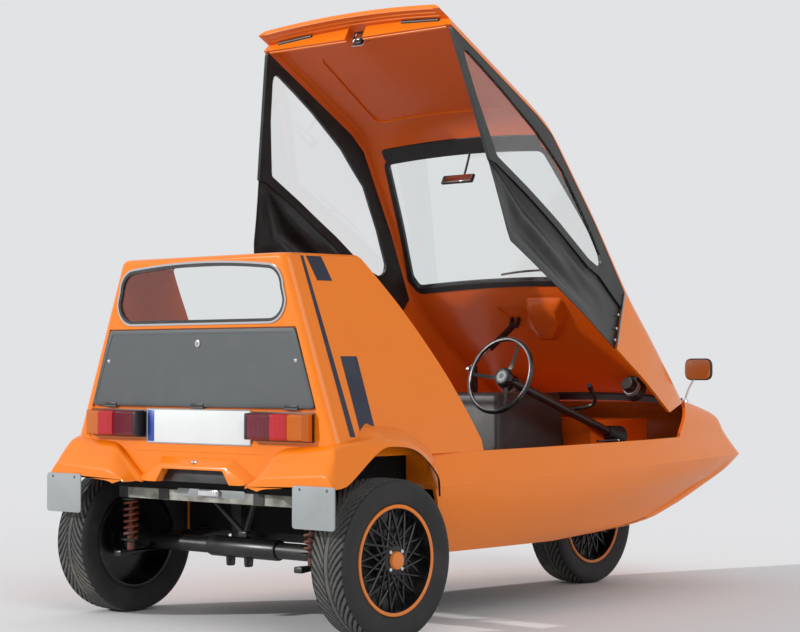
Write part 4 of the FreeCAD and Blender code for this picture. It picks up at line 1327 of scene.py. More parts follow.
@dataclass
class Canopy:
    """Tilting canopy: shell, windscreen, side screens, skirts and what hangs in it."""

    wall: float = 14.0
    inner_ends: Pair = (8.0, 2066.0)
    foot_z: float = 600.0
    hinge_y: float = 2050.0
    hinge_z: float = 770.0
    open_angle: float = 28.0
    rows: tuple = (
        (-60, 668, 455, 1294, 1320),
        (78, 668, 460, 1290, 1316),
        (652, 664, 472, 1270, 1300),
        (751, 660, 480, 1252, 1280),
        (1097, 642, 522, 1066, 1090),
        (1386, 607, 560, 887, 912),
        (1620, 582, 545, 826, 850),
        (1920, 528, 500, 768, 792),
        (2050, 486, 466, 760, 778),
        (2180, 444, 432, 752, 764),
    )
    side_top: tuple = ((652, 1236), (751, 1218), (1097, 1032), (1352, 872))
    low: float = 624.4
    niche: tuple = ((-150, 1448), (-8, 1448), (-72, 1570), (-106, 1570))
    bulge: tuple = ((36, 1405), (222, 1405), (168, 1530), (62, 1645), (-34, 1645), (-42, 1562), (2, 1452))
    screen: tuple = ((-405, 815), (405, 815), (520, 1290), (500, 1345), (-500, 1345), (-520, 1290))
    window: tuple = ((157, 1216), (300, 1208), (430, 1198), (650, 1168), (846, 1114), (1023, 1012),
                     (1150, 926), (1168, 893), (1150, 868), (1073, 859), (850, 884), (612, 898),
                     (425, 903), (280, 1059))
    frame_foot: tuple = ((1160, 835), (1073, 825), (850, 850), (612, 866), (420, 870), (384, 860))
    skirt_edge: tuple = ((384, 860), (428, 801), (474, 737), (526, 661), (556, 626), (1351.7, 624.4))

    def row(self, y: float) -> np.ndarray:
        """Foot half, top half, shoulder height and crown height, eased along the car.

        Args:
            y: Place along the car, in mm.

        Returns:
            The four measures, in mm.
        """
        table = np.array(self.rows, float)
        spots = np.linspace(y - 55, y + 55, 9)
        return np.array([np.interp(spots, table[:, 0], table[:, k]).mean() for k in range(1, 5)])

    def side_x(self, y: float, z: float) -> float:
        """Half width of the leaning side at a place."""
        foot, top, shoulder, _ = self.row(y)
        return top + (foot - top) * (shoulder - z) / (shoulder - self.foot_z)

    def roof_z(self, x: float, y: float, inset: float = 0.0) -> float:
        """Height of the roof surface at a place.

        Args:
            x: Place across the car, in mm.
            y: Place along the car, in mm.
            inset: How far inside the outer face, in mm.

        Returns:
            The height, in mm.
        """
        _, top, shoulder, crown = self.row(y)
        half, rise = top - inset, crown - shoulder
        radius = (half * half + rise * rise) / (2 * rise)
        return crown - inset - radius + math.sqrt(max(radius * radius - x * x, 0.0))

    def section(self, y: float, inset: float) -> Ring:
        """Closed section of the canopy form.

        Args:
            y: Where along the car.
            inset: How far it is drawn in.

        Returns:
            Its points.
        """
        foot, top, shoulder, _ = self.row(y)
        low = Vector((foot - inset, self.foot_z))
        corner = Vector((top - inset, shoulder - inset))
        reach = max(10.0, 40.0 - inset)
        start = corner + (low - corner).normalized() * reach
        end_x = corner.x - reach
        end = Vector((end_x, self.roof_z(end_x, y, inset)))
        side = [low.lerp(start, k / 6) for k in range(6)]
        bend = [start * (1 - t) ** 2 + corner * (2 * t * (1 - t)) + end * t * t for t in
                (k / 7 for k in range(8))]
        roof = [Vector((end_x * (1 - k / 9), self.roof_z(end_x * (1 - k / 9), y, inset)))
                for k in range(1, 10)]
        right = side + bend + roof
        points = [(p.x, y, p.y) for p in right]
        return points + [(-x, y, z) for x, y, z in reversed(points[:-1])]

    def form(self, shop: Workshop, inset: float, first: float = 20.0, last: float = 2050.0) -> Shape:
        """Solid form through all sections.

        Args:
            shop: The workshop.
            inset: How far it is drawn in.
            first: Where it starts.
            last: Where it ends.

        Returns:
            The object.
        """
        count = 84
        return shop.skin("canopy", [self.section(first + (last - first) * k / count, inset)
                                    for k in range(count + 1)])

    def band(self, shop: Workshop, outer: float, inner: float, outline: Sequence[Pair],
             axis: str = "x") -> Shape:
        """Part of the skin between two insets, within an outline.

        Args:
            shop: The workshop.
            outer: First inset.
            inner: Second inset.
            outline: Corners in the outline's plane.
            axis: "x" for an outline seen from the side, "z" for one seen from above.

        Returns:
            The object.
        """
        low, high = THROUGH if axis == "x" else (640, 1500)
        made = self.form(shop, outer)
        shop.carve(made, self.form(shop, inner, *self.inner_ends))
        shop.cut(made, axis, outline, low, high, Cut.WITHIN)
        if axis == "x":
            shop.hollow(made, (-440, 0, 500), (440, 2100, 1500))
        return made

    def tilt(self, target: Shape) -> Shape:
        """Turn a piece from the closed place to the open one.

        Args:
            target: The object.

        Returns:
            The same object.
        """
        hinge = place_point(0, self.hinge_y, self.hinge_z)
        turn = Matrix.Rotation(math.radians(-self.open_angle), 4, "X")
        target.data.transform(Matrix.Translation(hinge) @ turn @ Matrix.Translation(-hinge))
        return target

    def hang(self, shop: Workshop, target: Shape, slot: str, *nodes: str) -> None:
        """Tilt a piece and let it ride on the canopy."""
        shop.fit(self.tilt(target), "canopy", slot, *nodes)

    def build(self, shop: Workshop) -> None:
        """Build the whole canopy.

        Args:
            shop: The workshop.
        """
        self._shell(shop)
        self._screen(shop)
        self._sides(shop)
        self._skirts(shop)
        self._fittings(shop)

    def _shell(self, shop: Workshop) -> None:
        """Painted shell with its flange and recesses, the bulge, beads and strips inside it.

        Args:
            shop: The workshop.
        """
        shell = self.form(shop, 0.0)
        inner = self.form(shop, self.wall, *self.inner_ends)
        for low, high in ((-450, -44), (44, 450)):
            shop.hollow(inner, (low, 84, 1250), (high, 108, 1400))
        shop.carve(shell, inner)
        side = [(20, 1500), (20, 1277), (84, 1277), (84, 1250), *self.side_top, (1352, self.low),
                (1885, self.low + 4), (2050, 768), (2050, 1500)]
        shop.cut(shell, "x", side, *THROUGH, Cut.WITHIN)
        plan = rounded(self.screen, 46.0)
        shop.cut(shell, "z", plan, 860, 1500)
        recess = self.form(shop, self.wall - 6, *self.inner_ends)
        panel = rounded([(-300, 210), (300, 210), (330, 640), (-330, 640)], 45.0)
        shop.cut(recess, "z", panel, 1000, 1500, Cut.WITHIN)
        shop.carve(shell, recess)
        niche = self.form(shop, self.wall - 9, *self.inner_ends)
        shop.cut(niche, "z", rounded(self.niche, 7.0, 3), 700, 1500, Cut.WITHIN)
        shop.carve(shell, niche)
        for side_x in SIDES:
            low, high = sorted((side_x * 380, side_x * 400))
            knuckle = shop.bar("knuckle",
                               [(low, self.hinge_y, self.hinge_z), (high, self.hinge_y, self.hinge_z)], 7)
            shell = shop.join("canopy_skin", [shell, knuckle])
        shop.paint(shell, "body_paint", 38.0)
        shop.line_inside(shell, "inner_paint", (0.0, 1200.0, 640.0))
        self.hang(shop, shell, "body_paint", "canopy_shell")
        middle = Vector((sum(p[0] for p in self.bulge), sum(p[1] for p in self.bulge))) / len(self.bulge)
        rings = []
        for shrink, drop in ((1.0, -3.0), (0.97, 3.0), (0.66, 24.0)):
            plan = rounded([tuple(middle + (Vector(p) - middle) * shrink) for p in self.bulge], 14.0, 4)
            rings.append([(x, y, self.roof_z(x, y, self.wall) - drop) for x, y in plan])
        self.hang(shop, shop.paint(shop.skin("inner_bulge", rings), "inner_paint"), "body_paint")
        beads = []
        for y, drop in ((24, 15.0), (46, 14.2), (66, 14.2)):
            line = [(x, y, self.roof_z(x, y) - drop) for x in range(-425, 426, 50)]
            beads.append(shop.tube("bead", line, 3.2))
        for ends in ((-446, -42), (42, 446)):
            beads.append(shop.bar("bead", [(x, 96, 1250.5) for x in ends], 4.0))
        self.hang(shop, shop.paint(shop.join("roof_beads", beads), "body_paint"), "body_paint")
        strips = []
        for low, high in ((-400, -230), (225, 410)):
            line = [(low, 82, self.roof_z(low, 82) - 20), (high, 82, self.roof_z(high, 82) - 20)]
            strips.append(shop.bar("strip", line, 5.0))
        self.hang(shop, shop.paint(shop.join("roof_strips", strips), "lamp_black"), "lamp_black")

    def _screen(self, shop: Workshop) -> None:
        """Windscreen, its rubber seal, the header trim, the front seal and the wiper.

        Args:
            shop: The workshop.
        """
        plan = rounded(self.screen, 46.0)
        glass = self.band(shop, 4.0, 8.0, grown(plan, -1.0), "z")
        shop.paint(glass, "clear_glass")
        glass.name = "windscreen_pane"
        self.hang(shop, glass, "clear_glass", "windscreen")
        seal = self.band(shop, -1.5, 18.0, grown(plan, 7.0), "z")
        shop.cut(seal, "z", grown(plan, -15.0), 600, 1500)
        seal.name = "screen_seal"
        self.hang(shop, shop.paint(seal, "lamp_black"), "lamp_black")
        for name, depth, corners, radius in (
            ("header_trim", 19.0, ((-395, 768), (395, 768), (400, 812), (-400, 812)), 12.0),
            ("front_seal", 22.0, ((-404, 1990), (404, 1990), (398, 2036), (-398, 2036)), 6.0),
        ):
            trim = self.band(shop, 13.5, depth, rounded(corners, radius), "z")
            trim.name = name
            self.hang(shop, shop.paint(trim, "lamp_black"), "lamp_black")
        spots = [(-60, 1325), (60, 1312), (190, 1308), (330, 1316)]
        blade = shop.tube("wiper_blade", [(x, y, self.roof_z(x, y) + 12) for x, y in spots], 4.5)
        arm = shop.tube("wiper_arm",
                        [(350, 1366, self.roof_z(350, 1366) + 6), (300, 1335, self.roof_z(300, 1335) + 18),
                         (150, 1310, self.roof_z(150, 1310) + 17)], 3.5)
        self.hang(shop, shop.paint(shop.join("wiper", [blade, arm]), "lamp_black"), "lamp_black")

    def _sides(self, shop: Workshop) -> None:
        """Black side frames, their flexible windows, edge strips, seals and studs.

        Args:
            shop: The workshop.
        """
        frame_side = [(92, 1249.4), *[(y - 0.2, z - 0.3) for y, z in self.side_top], (1351.7, 800),
                      *self.frame_foot, (233, 1062)]
        opening = rounded(self.window, 26.0)
        frames = self.band(shop, 1.0, 13.0, rounded(frame_side, 5.0, 3))
        shop.cut(frames, "x", opening, *THROUGH)
        frames.name = "side_frames"
        self.hang(shop, shop.paint(frames, "lamp_black"), "lamp_black", "screen_frames")
        panes = self.band(shop, 6.0, 8.0, grown(opening, 4.0))
        panes.name = "side_panes"
        self.hang(shop, shop.paint(panes, "clear_screen"), "clear_screen", "side_windows")
        foot = self.low
        rim = ((1354, foot + 12), (1500, foot + 12), (1700, foot + 13), (1880, foot + 15),
               (1960, 702), (2040, 768))
        strips = [[(self.side_x(1349, z) + 2.5, 1349, z) for z in (868, 800, 730, 640)]]
        seals = [[(self.side_x(y, z) - 17, y, z) for y, z in rim]]
        studs = [[(self.side_x(1325, z) + reach, 1325, z) for reach in (-14, 3)] for z in (760, 700, 650)]
        for name, lines, radius, finish in (
            ("screen_edge_strips", strips, 3.0, "flap_grey"),
            ("canopy_edge_seal", seals, 5.0, "lamp_black"),
            ("skirt_studs", studs, 5.0, "bright_trim"),
        ):
            self.hang(shop, shop.twins(name, lines, radius, finish), finish)

    def _skirts(self, shop: Workshop) -> None:
        """Vinyl skirts below the side frames, slack and folded, both cut from one length.

        Args:
            shop: The workshop.
        """
        top = np.array([*reversed(self.frame_foot), (1351.7, 800)], float)
        edge = np.array(self.skirt_edge, float)
        lengths = [np.concatenate([[0], np.cumsum(np.hypot(*np.diff(line, axis=0).T))])
                   for line in (top, edge)]
        across, along = 26, 110
        pieces = []
        for side in SIDES:
            rings = []
            for i in range(along + 1):
                v = i / along
                line = []
                for j in range(across + 1):
                    t = j / across
                    upper = [np.interp(v * lengths[0][-1], lengths[0], top[:, k]) for k in (0, 1)]
                    lower = [np.interp(v * lengths[1][-1], lengths[1], edge[:, k]) for k in (0, 1)]
                    y = upper[0] + (lower[0] - upper[0]) * t
                    z = upper[1] + (lower[1] - upper[1]) * t
                    slack = (math.sin(math.pi * min(1.0, t * 1.15))
                             * math.sin(math.pi * min(1.0, v * 1.1 + 0.04)))
                    fold = (math.sin(math.tau * (1.35 * t + 0.45 * v))
                            + 0.4 * math.sin(math.tau * (2.6 * t - 1.2 * v)))
                    x = self.side_x(y, z) - 10 - 14 * slack * fold - 12 * slack
                    line.append((side * x, y, z))
                rings.append(line)
            sheet = shop.skin("skirt", rings, closed=False)
            step = sheet.modifiers.new("thick", "SOLIDIFY")
            step.thickness = 2.5 * MM
            step.offset = 0
            pieces.append(shop.freeze(sheet))
        skirts = shop.join("vinyl_skirts", pieces)
        shop.outward(skirts)
        self.hang(shop, shop.paint(skirts, "black_vinyl", 60.0), "black_vinyl", "side_skirts")

    def _fittings(self, shop: Workshop) -> None:
        """Rear-view mirror, roof latch, headlamp backs and the strut's bracket.

        Args:
            shop: The workshop.
        """
        stalk = shop.tube("stalk", [(30, 826, 1236), (32, 834, 1180), (30, 842, 1122)], 4.5)
        shop.paint(stalk, "lamp_black")
        shell = shop.soften(shop.block("mirror", (-75, 834, 1091), (85, 848, 1129)), 6, 3)
        shop.paint(shell, "lamp_black")
        face = shop.soften(shop.block("face", (-55, 831.5, 1095), (79, 834.5, 1125)), 2, 2)
        shop.paint(face, "mirror_glass")
        self.hang(shop, shop.join("rear_view_mirror", [stalk, shell, face]), "lamp_black", "interior_mirror")
        roof = self.roof_z(0, 122, self.wall)
        base = shop.brick("latch", (-34.5, 112, 1270), (34.5, 136, roof + 3), 2, 2, "lamp_black")
        claw = shop.brick("claw", (-26, 114, 1248), (14, 132, 1276), 5, 3, "lamp_black")
        plate = shop.brick("plate", (-20, 110.5, 1264), (4, 115, 1290), 1.5, 2, "bright_trim")
        tabs = [shop.brick("tab", (x, 110.6, roof - 14), (x + 14, 114, roof - 4), 1, 2, "bright_trim")
                for x in (-33, 19)]
        bail = shop.bar("bail",
                        [(-24, 114, 1284), (-31, 116, 1262), (-29, 118, 1240.5), (27, 118, 1240.5),
                         (32, 116, 1262), (26, 114, 1284)], 3.0)
        shop.paint(bail, "bright_trim")
        self.hang(shop, shop.join("latch", [base, claw, plate, bail, *tabs]), "bright_trim", "roof_latch")
        pieces = []
        for side in SIDES:
            at = (side * 318, 1835, 732)
            shell = shop.spun("lamp",
                              [(-2, CORE), (-2, 26), (3, 29), (28, 29), (32, 32), (48, 32), (58, 42),
                               (66, 46), (76, 46), (76, CORE)], at, "Y")
            pieces.append(shop.paint(shell, "lamp_black"))
            for start in (30, 41):
                ring = shop.spun("ring", [(start, 28), (start, 35), (start + 6, 35), (start + 6, 28)],
                                 at, "Y")
                pieces.append(shop.paint(ring, "flap_grey"))
            hanger = shop.block("hanger", (side * 318 - 20, 1862, 762),
                                (side * 318 + 20, 1896, self.roof_z(318, 1880, self.wall) + 1))
            pieces.append(shop.paint(hanger, "lamp_black"))
        self.hang(shop, shop.join("headlamp_backs", pieces), "lamp_black", "headlamps")
        ears = []
        for x in (-108, -75):
            roof = self.roof_z(-90, 1524, self.wall)
            ears.append(shop.soften(shop.block("ear", (x, 1512, 826), (x + 3, 1536, roof + 10)), 1, 2))
        ears.append(shop.bar("pin", [(-110, 1524, 836), (-70, 1524, 836)], 5))
        self.hang(shop, shop.paint(shop.join("strut_bracket", ears), "black_steel"), "black_steel")


@dataclass
class Wheels:
    """Tyres with a directional tread and cross-spoke rims."""

    radius: float = 266.0
    half: float = 77.0
    bead: float = 176.0
    offset: float = 637.0
    height: float = 266.0
    spokes: int = 16
    sweep: float = 42.0
    pitches: int = 56

    def _groove(self, turn: float, x: float) -> float:
        """Depth of the tread at a place, from 0 to 1.

        Args:
            turn: Angle about the axle, in radians.
            x: Place across the car, in mm.

        Returns:
            The depth, where 1 is the full height of the tread.
        """
        side = abs(x) / 62.0
        rib = max(0.0, 1.0 - ((abs(x) - 9.0) / 2.6) ** 4)
        phase = (self.pitches * turn / math.tau - 4.2 * side ** 0.55) % 1.0
        cut = max(0.0, 1.0 - (abs(phase - 0.5) / 0.17) ** 4) if side > 0.2 else 0.0
        return max(rib, cut)

    def _tyre(self, shop: Workshop) -> Shape:
        """One tyre about the X axis, at the origin.

        Args:
            shop: The workshop.

        Returns:
            The tyre.
        """
        wall = [(57.5, 176.3), (62, 180), (67, 190), (71.5, 206), (75.6, 224), (76.8, 238), (75.8, 249),
                (72.5, 257), (68.5, 261.5)]
        tread = [64 - 3.2 * k for k in range(41)]
        steps = self.pitches * 14
        rings = []
        for number in range(steps + 1):
            turn = math.tau * (number % steps) / steps
            line = list(wall)
            for x in tread:
                crown = self.radius - 2.4 * (x / 64) ** 2 - (1.2 if abs(x) > 62 else 0.0)
                line.append((x, crown - 6.0 * self._groove(turn, x)))
            line += [(-x, r) for x, r in reversed(wall)]
            line.append(line[0])
            rings.append([(x, r * math.sin(turn), r * math.cos(turn)) for x, r in line])
        tyre = shop.weld(shop.skin("tyre", rings, closed=False))
        shop.paint(tyre, "tyre_rubber", 34.0)
        tyre.data.materials.append(shop.finishes["tread_rubber"])
        hub = place_point(0, 0, 0)
        for face in tyre.data.polygons:
            spot = (face.center - hub) / MM
            if math.hypot(spot.y, spot.z) > 262.6 and abs(spot.x) < 63:
                face.material_index = 1
        return tyre

    def _spoke(self, shop: Workshop, turn: float, sweep: float, sunk: float) -> Shape:
        """One spoke from the rim to the hub, which stands further out.

        Args:
            shop: The workshop.
            turn: Where it meets the rim.
            sweep: How far round it runs on its way to the hub.
            sunk: How far its face lies behind the front spokes.

        Returns:
            The object.
        """
        tip = Vector((46.0 - sunk, 170 * math.sin(turn), 170 * math.cos(turn)))
        root = Vector((60.0 - sunk, 48 * math.sin(turn + sweep), 48 * math.cos(turn + sweep)))
        run = (root - tip).normalized()
        across = run.cross(Vector((1, 0, 0))).normalized()
        rings = []
        for share, broad in ((0.0, 4.6), (0.12, 3.8), (0.6, 3.4), (1.0, 4.4)):
            spot = tip.lerp(root, share)
            section = ((-8, -broad), (-8, broad), (-1.4, broad), (0, broad - 1.6), (0, 1.6 - broad),
                       (-1.4, -broad))
            rings.append([tuple(spot + across * v + Vector((u, 0, 0))) for u, v in section])
        return shop.skin("spoke", rings)

    def _rim(self, shop: Workshop) -> Shape:
        """One rim about the X axis, at the origin, its outer side towards +X.

        Args:
            shop: The workshop.

        Returns:
            The painted rim.
        """
        centre = (0.0, 0.0, 0.0)
        barrel = shop.spun("barrel",
                           [(66, 168.5), (64, 173), (58, 175.4), (-58, 175.4), (-60, 180), (-65, 180.6),
                            (-66, 178), (-65, 168), (-30, 166), (30, 167), (56, 167)], centre, "X", 96)
        shop.paint(barrel, "rim_black")
        lip = shop.spun("lip",
                        [(60, 181.2), (66, 182.2), (69, 180.4), (69.6, 176.5), (68.6, 172.5), (66, 169.8),
                         (60, 169.8)], centre, "X", 96)
        shop.paint(lip, "rim_orange")
        web = shop.spun("web", [(13, 50), (13, 168.5), (17, 168.5), (17, 50)], centre, "X", 72)
        shop.paint(web, "rim_black")
        hub = shop.spun("hub", [(7, 16), (7, 50), (46, 52), (56, 51), (61, 48), (62, 44), (62, 16)],
                        centre, "X", 64)
        shop.paint(hub, "rim_black")
        cap = shop.spun("cap",
                        [(58, CORE), (58, 29.5), (70, 29.5), (73.5, 27.5), (75.5, 22), (76, 12), (76, CORE)],
                        centre, "X", 48)
        shop.paint(cap, "rim_orange")
        pieces = [barrel, lip, web, hub, cap]
        for number in range(self.spokes):
            turn = math.tau * number / self.spokes
            for sweep, sunk in ((self.sweep, 0.0), (-self.sweep, 4.0)):
                spoke = self._spoke(shop, turn, math.radians(sweep), sunk)
                pieces.append(shop.paint(spoke, "rim_black"))
        for number in range(4):
            turn = math.radians(45 + 90 * number)
            at = (0.0, 39.5 * math.sin(turn), 39.5 * math.cos(turn))
            pieces.append(shop.paint(shop.spun("nut", [(61, CORE), (61, 7), (66, 7), (68, 5), (68, CORE)], at,
                                               "X", 6), "bright_trim"))
        return shop.join("rim", pieces)

    def build(self, shop: Workshop) -> None:
        """Make the three wheels.

        Args:
            shop: The workshop.
        """
        tyre, rim = self._tyre(shop), self._rim(shop)
        for name, x, y, flip in (("left", -self.offset, 0.0, True), ("right", self.offset, 0.0, False),
                                 ("front", 0.0, FRONT_Y, False)):
            spot = place_point(x, y, self.height)
            move = Matrix.Translation(spot) @ Matrix.Rotation(math.pi if flip else 0.0, 4, "Z")
            move = move @ Matrix.Translation(-place_point(0, 0, 0))
            for source, part, slot in ((tyre, "tyre", "tyre_rubber"), (rim, "rim", "rim_black")):
                made = placed(f"{name}_{part}_visual", source.data.copy())
                made.data.transform(move)
                shop.fit(made, f"wheel_{name}", slot, f"{name}_{part}")
        for source in (tyre, rim):
            bpy.data.objects.remove(source)


@dataclass
class RunningGear:
    """Rear axle, links, springs, fork and steering head."""

    axle_z: float = 266.0
    tray: float = 470.0
    front_z: float = 546.0
    head_top: float = 640.0

    def build(self, shop: Workshop) -> None:
        """Build everything that carries the wheels.

        Args:
            shop: The workshop.
        """
        self._axle(shop)
        self._springs(shop)
        self._fork(shop)

    def _axle(self, shop: Workshop) -> None:
        """Axle tube with its sleeve, hub carriers, arms, brackets and V link.

        Args:
            shop: The workshop.
        """
        z = self.axle_z
        half = [(0, 36), (162, 36), (168, 34), (170, 28.5), (560, 28.5), (566, 34), (572, 40), (574, 58),
                (580, 60), (601, 60), (601, 14), (672.7, 14), (672.7, CORE)]
        outline = [(-x, r) for x, r in reversed(half)] + half[1:]
        tube = shop.spun("axle", outline, (0, 0, z), "X", 48, closed=False)
        pieces = [shop.paint(tube, "black_steel")]
        arm = [(-200, z - 45), (40, z - 20), (330, 262), (330, 300), (40, z + 30), (-60, z - 24),
               (-200, z - 24)]
        for side in SIDES:
            low, high = sorted((side * 430, side * 468))
            pieces.append(shop.paint(shop.soften(shop.prism("x", arm, low, high), 4, 2), "black_steel"))
        for x in (-80, 10):
            pieces.append(shop.paint(shop.prism("x",
                                                rounded([(-20, 246), (20, 246), (16, 200), (-16, 200)], 8.0),
                                                x, x + 10), "black_steel"))
            pieces.append(shop.paint(shop.spun("bolt", [(-4, CORE), (-4, 8), (14, 8), (14, CORE)],
                                               (x, 0, 214), "X", 6), "engine_iron"))
        shop.fit(shop.join("axle_assembly", pieces), "body", "black_steel", "rear_axle")
        apex = (0, -4, z + 45)
        arms = [shop.bar("arm", [apex, (side * 105, -60, self.tray - 36)], 9, sides=16) for side in SIDES]
        boss = shop.soften(shop.block("boss", (-22, -20, z + 36.3), (22, 12, z + 59)), 5, 3)
        tie = shop.soften(shop.block("tie", (-211.7, -80, self.tray - 40),
                                     (211.7, -40, self.tray - 0.5)), 3, 2)
        link = shop.paint(shop.join("v_link", [*arms, boss, tie]), "black_steel")
        shop.fit(link, "body", "black_steel", "axle_link")

    def _springs(self, shop: Workshop) -> None:
        """Coil springs over dampers.

        Args:
            shop: The workshop.
        """
        low, high = self.axle_z + 18, self.tray - 44
        turns, steps = 6.5, 150
        pieces = []
        for side in SIDES:
            at = (side * 450, -135, self.axle_z - 23.7)
            coil = []
            for k in range(steps + 1):
                turn = math.tau * turns * k / steps
                coil.append((at[0] + 23 * math.cos(turn), at[1] + 23 * math.sin(turn),
                             low + (high - low) * k / steps))
            pieces.append(shop.paint(shop.tube("coil", coil, 5.2, sides=12), "spring_paint"))
            damper = shop.spun("damper", [(0, CORE), (0, 13), (90, 13), (92, 9), (204, 9), (204, CORE)],
                               at, "Z", 24)
            pieces.append(shop.paint(damper, "spring_paint"))
            radius = 34
            for start in (34, 178):
                cup = shop.spun("cup",
                                [(start, CORE), (start, radius), (start + 6, radius),
                                 (start + 7, CORE)], at, "Z", 32)
                pieces.append(shop.paint(cup, "black_steel"))
        shop.fit(shop.join("coilovers", pieces), "body", "spring_paint", "coil_springs")

    def _fork(self, shop: Workshop) -> None:
        """Front fork with its legs, crown and axle, and the head that holds it.

        Args:
            shop: The workshop.
        """
        y, z = FRONT_Y, self.axle_z
        pieces = []
        for side in SIDES:
            low, high = sorted((side * 84, side * 96))
            outline = rounded([(y - 23, z - 30), (y + 23, z - 30), (y + 23, self.front_z + 20),
                               (y - 23, self.front_z + 20)], 12.0)
            pieces.append(shop.soften(shop.prism("x", outline, low, high), 2.5, 2))
        pieces.append(shop.soften(shop.block("crown", (-96, y - 23, self.front_z),
                                             (96, y + 23, self.front_z + 30)), 6, 3))
        pieces.append(shop.spun("stem", [(0, CORE), (0, 16), (98, 16), (98, CORE)],
                                (0, y, self.front_z), "Z", 32))
        pieces.append(shop.spun("nut", [(0, CORE), (0, 23), (10, 23), (12, 20), (12, CORE)],
                                (0, y, self.head_top + 1), "Z", 6))
        pieces.append(shop.spun("pin", [(-108, CORE), (-108, 12), (108, 12), (108, CORE)],
                                (0, y, z), "X", 32))
        fork = shop.paint(shop.join("fork", pieces), "black_steel")
        shop.fit(fork, "front_fork", "black_steel", "front_fork")


@dataclass
class Rear:
    """Boot lid, window trim, lamps, plates, flaps, valance and stripes of the tail."""

    rear_y: float = -228.0
    lamp_ends: tuple = ((547, 469, "amber_lens"), (469, 391, "red_lens"), (391, 283, "plum_lens"),
                        (283, 268, "lamp_black"))
    plate: tuple = (260, 631, 751)
    flap: tuple = (526, 714, 377, 515)
    wing_rows: tuple = (
        (-300.7, (304, 502), (384, 531), (672, 548), (706, 506)),
        (-262, (284, 504), (392, 590), (668, 606), (712, 512)),
        (-225, (284, 520), (420, 632), (655, 646), (714, 530)),
        (-95, (590, 704), (640, 692), (700, 652), (714, 622)),
        (-15, (590, 708), (640, 698), (703, 660), (714, 636)),
        (95, (590, 700), (640, 688), (698, 645), (713, 616)),
        (205, (590, 650), (638, 638), (686, 596), (704, 536)),
        (252, (590, 612), (636, 600), (668, 560), (676, 462)),
    )
    lip: float = 34.0
    stripes: tuple = (
        ((-167, 1262), (-156, 1262), (-130, 668), (-156, 668)),
        ((-146, 1262), (-88, 1262), (-66, 1180), (-126, 1180)),
        ((-108, 930), (-36, 930), (-26, 678), (-102, 678)),
    )

    def build(self, shop: Workshop, tail: Tail) -> None:
        """Build everything behind.

        Args:
            shop: The workshop.
            tail: The tail that the pieces sit on.
        """
        self._lid(shop, tail)
        self._window(shop, tail)
        self._lamps(shop)
        self._plates(shop)
        self._flaps(shop)
        self._wings(shop)
        self._valance(shop)
        self._stripes(shop, tail)

    def _lid(self, shop: Workshop, tail: Tail) -> None:
        """Grained lid with its lock, fixings and three hinges.

        Args:
            shop: The workshop.
            tail: The tail with its outlines.
        """
        lid = shop.soften(shop.prism("y", rounded(tail.lid_outline(0.0), 16.0), -232.3, -220.5), 2.5, 3)
        shop.cut(lid, "y", rounded(tail.lid_outline(-15.0), 12.0), -240, -231.0)
        pieces = [shop.paint(lid, "lid_grey")]
        pieces.append(shop.paint(shop.spun("lock", [(0, CORE), (0, 13), (-3, 12.5), (-4, 10), (-4, CORE)],
                                           (0, -231, 974), "Y", 32), "bright_trim"))
        pieces.append(shop.paint(shop.block("slot", (-1.2, -235.4, 969), (1.2, -234.8, 979)), "lamp_black"))
        for x in (-465, 465):
            pieces.append(shop.paint(shop.spun("stud", [(0, CORE), (0, 7), (-2, 5.5), (-3, 3), (-3.3, CORE)],
                                               (x, -231, 915), "Y", 20), "bright_trim"))
        for x in (-450, 0, 450):
            knuckle = shop.spun("knuckle", [(-30, CORE), (-30, 4), (30, 4), (30, CORE)],
                                (x, -233, 756), "X", 20)
            leaf = shop.soften(shop.block("leaf", (x - 30, -235, 757), (x + 30, -230.5, 770)), 1.2, 2)
            pieces += [shop.paint(knuckle, "engine_iron"), shop.paint(leaf, "lamp_black")]
        shop.fit(shop.join("grained_lid", pieces), "boot_lid", "lid_grey", "boot_lid")

    def _window(self, shop: Workshop, tail: Tail) -> None:
        """Bright trim ring with a black seal inside it.

        Args:
            shop: The workshop.
            tail: The tail with its outlines.
        """
        trim = shop.prism("y", tail.window_outline(9.5), -232, -227.6)
        shop.cut(trim, "y", tail.window_outline(2.5), -240, -220)
        pieces = [shop.paint(shop.soften(trim, 1.6, 2), "bright_trim")]
        seal = shop.prism("y", tail.window_outline(3.0), -230.6, -219.5)
        shop.cut(seal, "y", tail.window_outline(-8.0), -240, -210)
        pieces.append(shop.paint(shop.soften(seal, 1.4, 2), "lamp_black"))
        shop.fit(shop.join("window_ring", pieces), "body", "bright_trim", "window_trim")

    def _lamps(self, shop: Workshop) -> None:
        """Tail lamps of amber, red and dark red lenses with a black inner end.

        Args:
            shop: The workshop.
        """
        pieces = []
        section = rounded([(-277, 655), (-277, 741), (-229, 744), (-229, 652)], 12.0)
        plan = rounded([(547, -229), (547, -255), (532, -277), (268, -277), (268, -229)], 14.0)
        for side in SIDES:
            for first, last, finish in self.lamp_ends:
                low, high = sorted((side * first, side * last))
                deep = 0.0 if finish == "red_lens" else 2.2
                profile = [(y + deep if y < -240 else y, z) for y, z in section]
                lens = shop.prism("x", profile, low + 0.5, high - 0.5)
                shop.cut(lens, "z", [(side * x, y) for x, y in plan], 600, 800, Cut.WITHIN)
                pieces.append(shop.paint(shop.soften(lens, 1.2, 2), finish, 50.0))
            low, high = sorted((side * 265, side * 549.5))
            gasket = shop.block("gasket", (low, -230.5, 649.5), (high, -227.8, 746.5))
            pieces.append(shop.paint(shop.soften(gasket, 1.0, 2), "lamp_black"))
        shop.fit(shop.join("lamp_lenses", pieces), "body", "red_lens", "tail_lamps")

